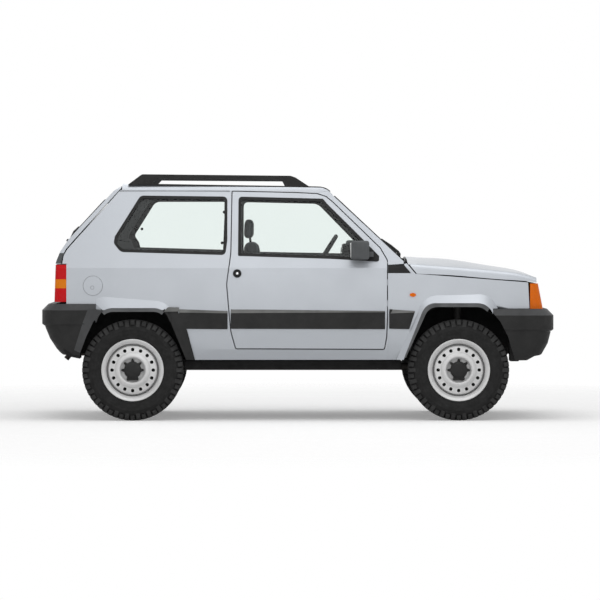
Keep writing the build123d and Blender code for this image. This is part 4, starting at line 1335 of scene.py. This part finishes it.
def make_bay_fittings():
    """Battery on its tray, washer bottle, hoses, leads, strut tops and the bonnet's latch."""
    work = bmesh.new()
    rounded_block(work, (1.180, -0.341, 0.606), (1.400, -0.120, 0.620), 0.003)
    rounded_block(work, (1.195, -0.325, 0.6195), (1.385, -0.140, 0.790), 0.006)
    rounded_block(work, (1.190, -0.330, 0.788), (1.390, -0.135, 0.812), 0.005)
    for x in (1.225, 1.29, 1.355):
        disc(work, (x, -0.232, 0.814), UP, 0.013, 0.010, 0.002, 24)
    finished("battery", work, "body", "edge_plastic")
    work = bmesh.new()
    for x in (1.215, 1.365):
        disc(work, (x, -0.295, 0.820), UP, 0.010, 0.022, 0.002, 24)
    for side in SIDES.values():
        y = side * STRUT_Y
        disc(work, (FRONT_AXLE_X, y, 0.906), UP, 0.068, 0.014, 0.004, 40)
        disc(work, (FRONT_AXLE_X, y, 0.918), UP, 0.020, 0.020, 0.005, 24)
        for turn in (0, 120, 240):
            spot = (FRONT_AXLE_X + STUD_RING * cos(radians(turn)), y + STUD_RING * sin(radians(turn)), 0.915)
            disc(work, spot, UP, 0.008, 0.012, 0.002, 6)
    rounded_block(work, (1.530, -0.045, 0.903), (1.566, 0.045, 0.917), 0.004)
    finished("bay_metal", work, "body", "cast_alloy")
    work = bmesh.new()
    rounded_block(work, (0.6505, 0.180, 0.790), (0.735, 0.325, 0.930), 0.018)
    disc(work, (0.700, 0.250, 0.936), UP, 0.026, 0.020, 0.004, 32)
    rounded_block(work, (1.230, 0.230, 0.660), (1.360, 0.3405, 0.790), 0.018)
    disc(work, (1.295, 0.290, 0.797), UP, 0.024, 0.022, 0.004, 32)
    finished("bay_bottles", work, "body", "milky_plastic")
    work = bmesh.new()
    upper = [
        (1.505, 0.170, 0.800), (1.420, 0.165, 0.812), (1.250, 0.100, 0.800), (1.080, 0.060, 0.760),
        (1.000, 0.050, 0.740),
    ]
    lower = [(1.505, -0.100, 0.560), (1.300, -0.070, 0.540), (1.100, -0.020, 0.560), (1.000, 0.000, 0.580)]
    for hose in (upper, lower):
        tube(work, hose, 0.019, 16)
    for y in (-0.17, -0.11):
        tube(work, [(0.800, y, 0.760), (0.720, y - 0.01, 0.790), (0.648, y - 0.02, 0.800)], 0.011)
    for y in (-0.13, -0.05, 0.03, 0.11):
        spread = y * 0.12
        lead = [
            (0.972, y, 0.835), (1.020, y - 0.02, 0.842), (1.062, -0.17 + spread, 0.812),
            (1.070, -0.19 + spread, 0.776),
        ]
        tube(work, lead, 0.004, 8)
    disc(work, (1.072, -0.190, 0.750), UP, 0.038, 0.060, 0.008, 32)
    tube(work, [(1.072, -0.190, 0.730), (1.000, -0.190, 0.700)], 0.022, 20)
    cable = [(1.215, -0.295, 0.830), (1.150, -0.250, 0.850), (1.060, -0.245, 0.700), (0.990, -0.230, 0.620)]
    tube(work, cable, 0.007)
    finished("bay_hoses", work, "body", "seal_rubber")


def make_tailgate_fittings():
    """Handle, rear wiper and rubber stops of the tailgate."""
    work = bmesh.new()
    rounded_block(work, (-1.632, -0.075, 0.948), (-1.612, 0.075, 0.985), 0.006)
    rounded_block(work, (-1.6185, -0.16, 0.930), (-1.612, 0.16, 1.000), 0.003)
    disc(work, (-1.628, 0, 0.918), (1, 0, 0), 0.013, 0.03, 0.003, 24)
    finished("tailgate_handle", work, "tailgate", "black_plastic")
    out = Vector((-0.743, 0, 0.669))
    work = bmesh.new()
    for x, z in ((-1.481, 1.2556), (-1.533, 1.1970)):
        for y in (-0.585, 0.585):
            disc(work, Vector((x, y, z)) + out * 0.005, out, 0.009, 0.012, 0.003, 20)
    finished("tailgate_stops", work, "tailgate", "seal_rubber")
    work = bmesh.new()
    pivot = Vector((-1.528, 0.02, 1.2035))
    disc(work, pivot + out * 0.010, out, 0.018, 0.024, 0.004, 24)
    tip = Vector((-1.462, -0.36, 1.2775))
    tube(work, [pivot + out * 0.020, pivot.lerp(tip, 0.5) + out * 0.026, tip + out * 0.014], 0.006)
    blade_end = Vector((0, 0.21, 0))
    tube(work, [tip - blade_end + out * 0.0075, tip + out * 0.009, tip + blade_end + out * 0.0075], 0.0055)
    finished("rear_wiper", work, "tailgate", "black_plastic")


def make_door_fittings(side):
    """Inside of a door: card, armrest, pull and winder, with the lock barrel outside."""
    work = bmesh.new()
    card = [
        (-0.415, 1.030), (0.520, 1.015), (0.545, 0.980), (0.545, 0.560), (0.520, 0.520), (-0.380, 0.520),
        (-0.425, 0.700),
    ]
    side_prism(work, card, 0.648, 0.6645, 0.006)
    mirrored_if_right(work, side)
    finished(f"door_card_{side}", work, f"door_{side}", "dash_vinyl", 30)
    work = bmesh.new()
    rounded_block(work, (-0.300, 0.612, 0.800), (0.080, 0.650, 0.838), 0.012)
    rounded_block(work, (-0.350, 0.628, 0.560), (0.450, 0.650, 0.690), 0.010)
    disc(work, (0.210, 0.640, 0.830), ACROSS, 0.024, 0.024, 0.004)
    tube(work, [(0.210, 0.626, 0.830), (0.270, 0.622, 0.760)], 0.007)
    disc(work, (0.270, 0.612, 0.760), ACROSS, 0.011, 0.026, 0.004)
    mirrored_if_right(work, side)
    finished(f"door_furniture_{side}", work, f"door_{side}", "black_plastic")
    work = bmesh.new()
    disc(work, (-0.404, 0.7385, 0.979), ACROSS, 0.0085, 0.006, 0.0015, 24)
    mirrored_if_right(work, side)
    finished(f"door_lock_{side}", work, f"door_{side}", "bright")


def make_cabin():
    """Instrument hood, dials, vents, levers, pedals, mirror, mats, parcel shelf and roof lining."""
    work = bmesh.new()
    hood = [
        (0.306, 1.048), (0.450, 1.017), (0.548, 1.034), (0.530, 1.072), (0.430, 1.128), (0.345, 1.176),
        (0.314, 1.172),
    ]
    side_prism(work, hood, 0.195, 0.505, 0.010)
    for y in (-0.520, -0.060, 0.060, 0.545):
        rounded_block(work, (0.428, y - 0.040, 0.955), (0.452, y + 0.040, 1.000), 0.004)
        for z in (0.966, 0.977, 0.988):
            rounded_block(work, (0.425, y - 0.034, z - 0.002), (0.432, y + 0.034, z + 0.002), 0.001, 1)
    rounded_block(work, (0.412, -0.090, 0.890), (0.450, 0.090, 0.942), 0.005)
    side_prism(work, [(0.418, 0.900), (0.432, 0.985), (0.424, 0.987), (0.410, 0.902)], -0.500, -0.150, 0.003)
    finished("instrument_hood", work, "body", "dash_vinyl")
    for name, radius, lift, finish in (
        ("dial_rims", 0.043, 0.0, "bright"),
        ("dial_faces", 0.039, 0.0015, "black_plastic"),
    ):
        work = bmesh.new()
        for y in (0.285, 0.415):
            disc(work, (0.3095 - lift, y, 1.110), (1, 0, -0.065), radius, 0.008, 0.0015, 40)
        finished(name, work, "body", finish)
    work = bmesh.new()
    for y in (0.270, 0.350, 0.430):
        tube(work, [(0.600, y, 0.800), (0.570, y, 0.640), (0.520, y, 0.555)], 0.007)
        rounded_block(work, (0.500, y - 0.025, 0.520), (0.515, y + 0.025, 0.580), 0.005)
    finished("pedals", work, "body", "cast_iron")
    work = bmesh.new()
    rounded_block(work, (-1.050, -0.520, 1.503), (0.080, 0.520, 1.546), 0.012)
    for y in (-0.300, 0.300):
        rounded_block(work, (0.060, y - 0.170, 1.490), (0.200, y + 0.170, 1.506), 0.006)
    finished("roof_lining", work, "body", "headlining")
    work = bmesh.new()
    tube(work, [(0.250, 0.0, 0.455), (0.235, 0.0, 0.600), (0.190, 0.0, 0.745)], 0.008)
    disc(work, (0.187, 0.0, 0.760), (-0.3, 0, 1), 0.024, 0.050, 0.012)
    disc(work, (0.250, 0.0, 0.470), UP, 0.055, 0.040, 0.014)
    tube(work, [(-0.080, 0.035, 0.450), (0.060, 0.035, 0.520), (0.180, 0.035, 0.560)], 0.014)
    finished("levers", work, "body", "black_plastic")
    work = bmesh.new()
    rounded_block(work, (0.232, -0.105, 1.385), (0.256, 0.105, 1.440), 0.010)
    tube(work, [(0.244, 0.0, 1.430), (0.236, 0.0, 1.480)], 0.006)
    finished("inside_mirror", work, "body", "black_plastic")
    work = bmesh.new()
    for y in (-0.37, 0.37):
        rounded_block(work, (0.12, y - 0.22, 0.3952), (0.60, y + 0.22, 0.407), 0.004)
        rounded_block(work, (-0.56, y - 0.24, 0.3952), (-0.36, y + 0.24, 0.405), 0.004)
    rounded_block(work, (-1.540, -0.440, 0.6002), (-1.085, 0.440, 0.612), 0.004)
    rounded_block(work, (-1.440, -0.600, 1.020), (-1.080, 0.600, 1.034), 0.005)
    finished("floor_mats", work, "body", "carpet")


class HATCHBACK_OT_stage(bpy.types.Operator):
    """Floor, lights, white surroundings and the camera at the photograph's angle"""

    bl_idname = "hatchback.stage"
    bl_label = "Stage"

    def execute(self, context):
        settings = context.scene.hatchback_stage
        camera_data = bpy.data.cameras.new("camera")
        camera = bpy.data.objects.new("camera", camera_data)
        context.scene.collection.objects.link(camera)
        aim = Vector((settings.aim_x, NEAR_SIDE_Y, settings.aim_z))
        camera.location = (settings.eye_x, NEAR_SIDE_Y - settings.distance, settings.eye_z)
        camera.rotation_euler = (aim - camera.location).to_track_quat("-Z", "Y").to_euler()
        camera_data.lens = camera_data.sensor_width * settings.distance / settings.view_width
        camera_data.clip_end = 200
        context.scene.camera = camera
        context.scene.view_settings.view_transform = "Standard"
        self.light_world(context.scene, settings)
        self.hang_lamps(context.scene, settings)
        self.lay_floor(context.scene)
        return {"FINISHED"}

    def light_world(self, scene, settings):
        """Even light, white where it is seen."""
        world = bpy.data.worlds.new("surroundings")
        scene.world = world
        world.use_nodes = True
        tree = world.node_tree
        seen = tree.nodes.new("ShaderNodeLightPath")
        either = tree.nodes.new("ShaderNodeMath")
        either.operation = "MAXIMUM"
        tree.links.new(seen.outputs["Is Camera Ray"], either.inputs[0])
        tree.links.new(seen.outputs["Is Transmission Ray"], either.inputs[1])
        also = tree.nodes.new("ShaderNodeMath")
        also.operation = "MAXIMUM"
        tree.links.new(either.outputs[0], also.inputs[0])
        tree.links.new(seen.outputs["Is Glossy Ray"], also.inputs[1])
        strength = between(tree, also.outputs[0], settings.sky, 1.0, 0.0, 1.0)
        sky = tree.nodes["Background"]
        sky.inputs["Color"].default_value = (1, 1, 1, 1)
        tree.links.new(strength, sky.inputs["Strength"])

    def hang_lamps(self, scene, settings):
        """Broad soft lamps overhead and in front."""
        for name, place, size, power in (
            ("overhead", (0.3, -1.5, 5.5), 6.0, settings.key),
            ("front_fill", (0.5, -8.0, 3.2), 5.0, settings.key * 0.45),
            ("back_fill", (-1.5, 7.0, 4.0), 5.0, settings.key * 0.4),
        ):
            data = bpy.data.lights.new(name, "AREA")
            data.size = size
            data.energy = power
            lamp = bpy.data.objects.new(name, data)
            scene.collection.objects.link(lamp)
            lamp.location = place
            lamp.rotation_euler = (Vector((0, 0, 0.7)) - lamp.location).to_track_quat("-Z", "Y").to_euler()

    def lay_floor(self, scene):
        """Pale floor that fades into the white surroundings."""
        work = bmesh.new()
        bmesh.ops.create_circle(work, cap_ends=True, segments=96, radius=9.0)
        mesh = bpy.data.meshes.new("floor")
        work.to_mesh(mesh)
        work.free()
        floor = bpy.data.objects.new("floor", mesh)
        scene.collection.objects.link(floor)
        finish, tree, shader = new_finish("pale_floor", (0.93, 0.93, 0.93), 0.95)
        shader.inputs["Specular IOR Level"].default_value = 0.0
        seen = tree.nodes.new("ShaderNodeLightPath").outputs["Is Camera Ray"]
        shader.inputs["Emission Color"].default_value = (1, 1, 1, 1)
        tree.links.new(between(tree, seen, 0.0, FLOOR_LIFT, 0.0, 1.0), shader.inputs["Emission Strength"])
        reach = tree.nodes.new("ShaderNodeVectorMath")
        reach.operation = "LENGTH"
        tree.links.new(object_coords(tree), reach.inputs[0])
        fade = between(tree, reach.outputs["Value"], 0.0, 1.0, 2.6, 6.0)
        clear = tree.nodes.new("ShaderNodeBsdfTransparent")
        layer = tree.nodes.new("ShaderNodeMixShader")
        tree.links.new(fade, layer.inputs["Fac"])
        tree.links.new(shader.outputs["BSDF"], layer.inputs[1])
        tree.links.new(clear.outputs["BSDF"], layer.inputs[2])
        tree.links.new(layer.outputs["Shader"], tree.nodes["Material Output"].inputs["Surface"])
        mesh.materials.append(finish)


class HATCHBACK_OT_panels(bpy.types.Operator):
    """Painted panels and moulded trim with rounded edges, and finishes on the other frame nodes"""

    bl_idname = "hatchback.panels"
    bl_label = "Panels and finishes"

    def execute(self, context):
        for node in PAINTED:
            refined(node, "paint", sizes().panel_edge)
        for node in MOULDED:
            # Bumpers get a paler edge finish as a painted highlight on their rounded edges and top bevel.
            edge_highlight = "edge_plastic" if node.endswith("bumper") else None
            refined(node, "black_plastic", sizes().moulding_edge, edge_highlight)
        for node, finish in PLAIN_FINISHES.items():
            mesh = frame["nodes"][node].data
            mesh.materials.clear()
            mesh.materials.append(FINISHES[finish])
        return {"FINISHED"}


class HATCHBACK_OT_wheels(bpy.types.Operator):
    """Tyres, steel wheels and hub caps"""

    bl_idname = "hatchback.wheels"
    bl_label = "Wheels"

    def execute(self, context):
        for place, side in CORNERS:
            make_tyre(place, side)
            make_wheel(place, side)
            make_hub_cap(place, side)
        return {"FINISHED"}


class HATCHBACK_OT_mirrors(bpy.types.Operator):
    """Mirror glasses"""

    bl_idname = "hatchback.mirrors"
    bl_label = "Mirrors"

    def execute(self, context):
        for side in SIDES:
            make_mirror_glass(side)
        return {"FINISHED"}


class HATCHBACK_OT_lamps(bpy.types.Operator):
    """Headlamps, radiator and what stands under the bonnet"""

    bl_idname = "hatchback.lamps"
    bl_label = "Front end"

    def execute(self, context):
        make_headlamps()
        make_radiator()
        make_engine_top()
        make_bay_fittings()
        return {"FINISHED"}


class HATCHBACK_OT_fittings(bpy.types.Operator):
    """Window seals, strips, wheel arches, tailgate fittings and the inside of the doors"""

    bl_idname = "hatchback.fittings"
    bl_label = "Fittings"

    def execute(self, context):
        make_window_seals()
        make_tailgate_fittings()
        make_fuel_flap()
        make_wiper_arm()
        make_scuttle_seal()
        for side in SIDES:
            make_arch_liners(side)
            make_door_fittings(side)
            make_window_trims(side)
            make_rear_flange(side)
            make_side_lines(side)
            make_roof_strip(side)
            make_strip_end(side)
            make_wheel_house(side)
            make_arch_corners(side)
            for place in ARCHES:
                make_arch_lips(place, side)
        return {"FINISHED"}


class HATCHBACK_OT_cabin(bpy.types.Operator):
    """Padded seats and cabin furniture"""

    bl_idname = "hatchback.cabin"
    bl_label = "Cabin"

    def execute(self, context):
        make_seats()
        make_cabin()
        return {"FINISHED"}


class HATCHBACK_PT_sidebar(bpy.types.Panel):
    """Lists the steps and the values in the sidebar"""

    bl_idname = "HATCHBACK_PT_sidebar"
    bl_label = "Hatchback"
    bl_space_type = "VIEW_3D"
    bl_region_type = "UI"
    bl_category = "Hatchback"

    def draw(self, context):
        for step in STEPS:
            self.layout.operator(step.bl_idname)
        for group in VALUES:
            values = getattr(context.scene, group)
            for name in values.__annotations__:
                self.layout.prop(values, name)


STEPS = (
    HATCHBACK_OT_panels, HATCHBACK_OT_wheels, HATCHBACK_OT_mirrors, HATCHBACK_OT_lamps,
    HATCHBACK_OT_fittings, HATCHBACK_OT_cabin, HATCHBACK_OT_stage,
)
VALUES = {
    "hatchback_sizes": HatchbackSizes,
    "hatchback_colours": HatchbackColours,
    "hatchback_stage": HatchbackStage,
}


def register():
    """Register the values, the steps and the sidebar panel."""
    for name, group in VALUES.items():
        bpy.utils.register_class(group)
        setattr(bpy.types.Scene, name, bpy.props.PointerProperty(type=group))
    for step in (*STEPS, HATCHBACK_PT_sidebar):
        bpy.utils.register_class(step)


def unregister():
    """Take the panel, the steps and the values away again."""
    for step in (HATCHBACK_PT_sidebar, *reversed(STEPS)):
        bpy.utils.unregister_class(step)
    for name, group in VALUES.items():
        delattr(bpy.types.Scene, name)
        bpy.utils.unregister_class(group)


def main():
    """Run every step."""
    register()
    FINISHES.update(make_finishes())
    bpy.ops.hatchback.panels()
    bpy.ops.hatchback.wheels()
    bpy.ops.hatchback.mirrors()
    bpy.ops.hatchback.lamps()
    bpy.ops.hatchback.fittings()
    bpy.ops.hatchback.cabin()
    bpy.ops.hatchback.stage()


if __name__ == "__main__":
    main()
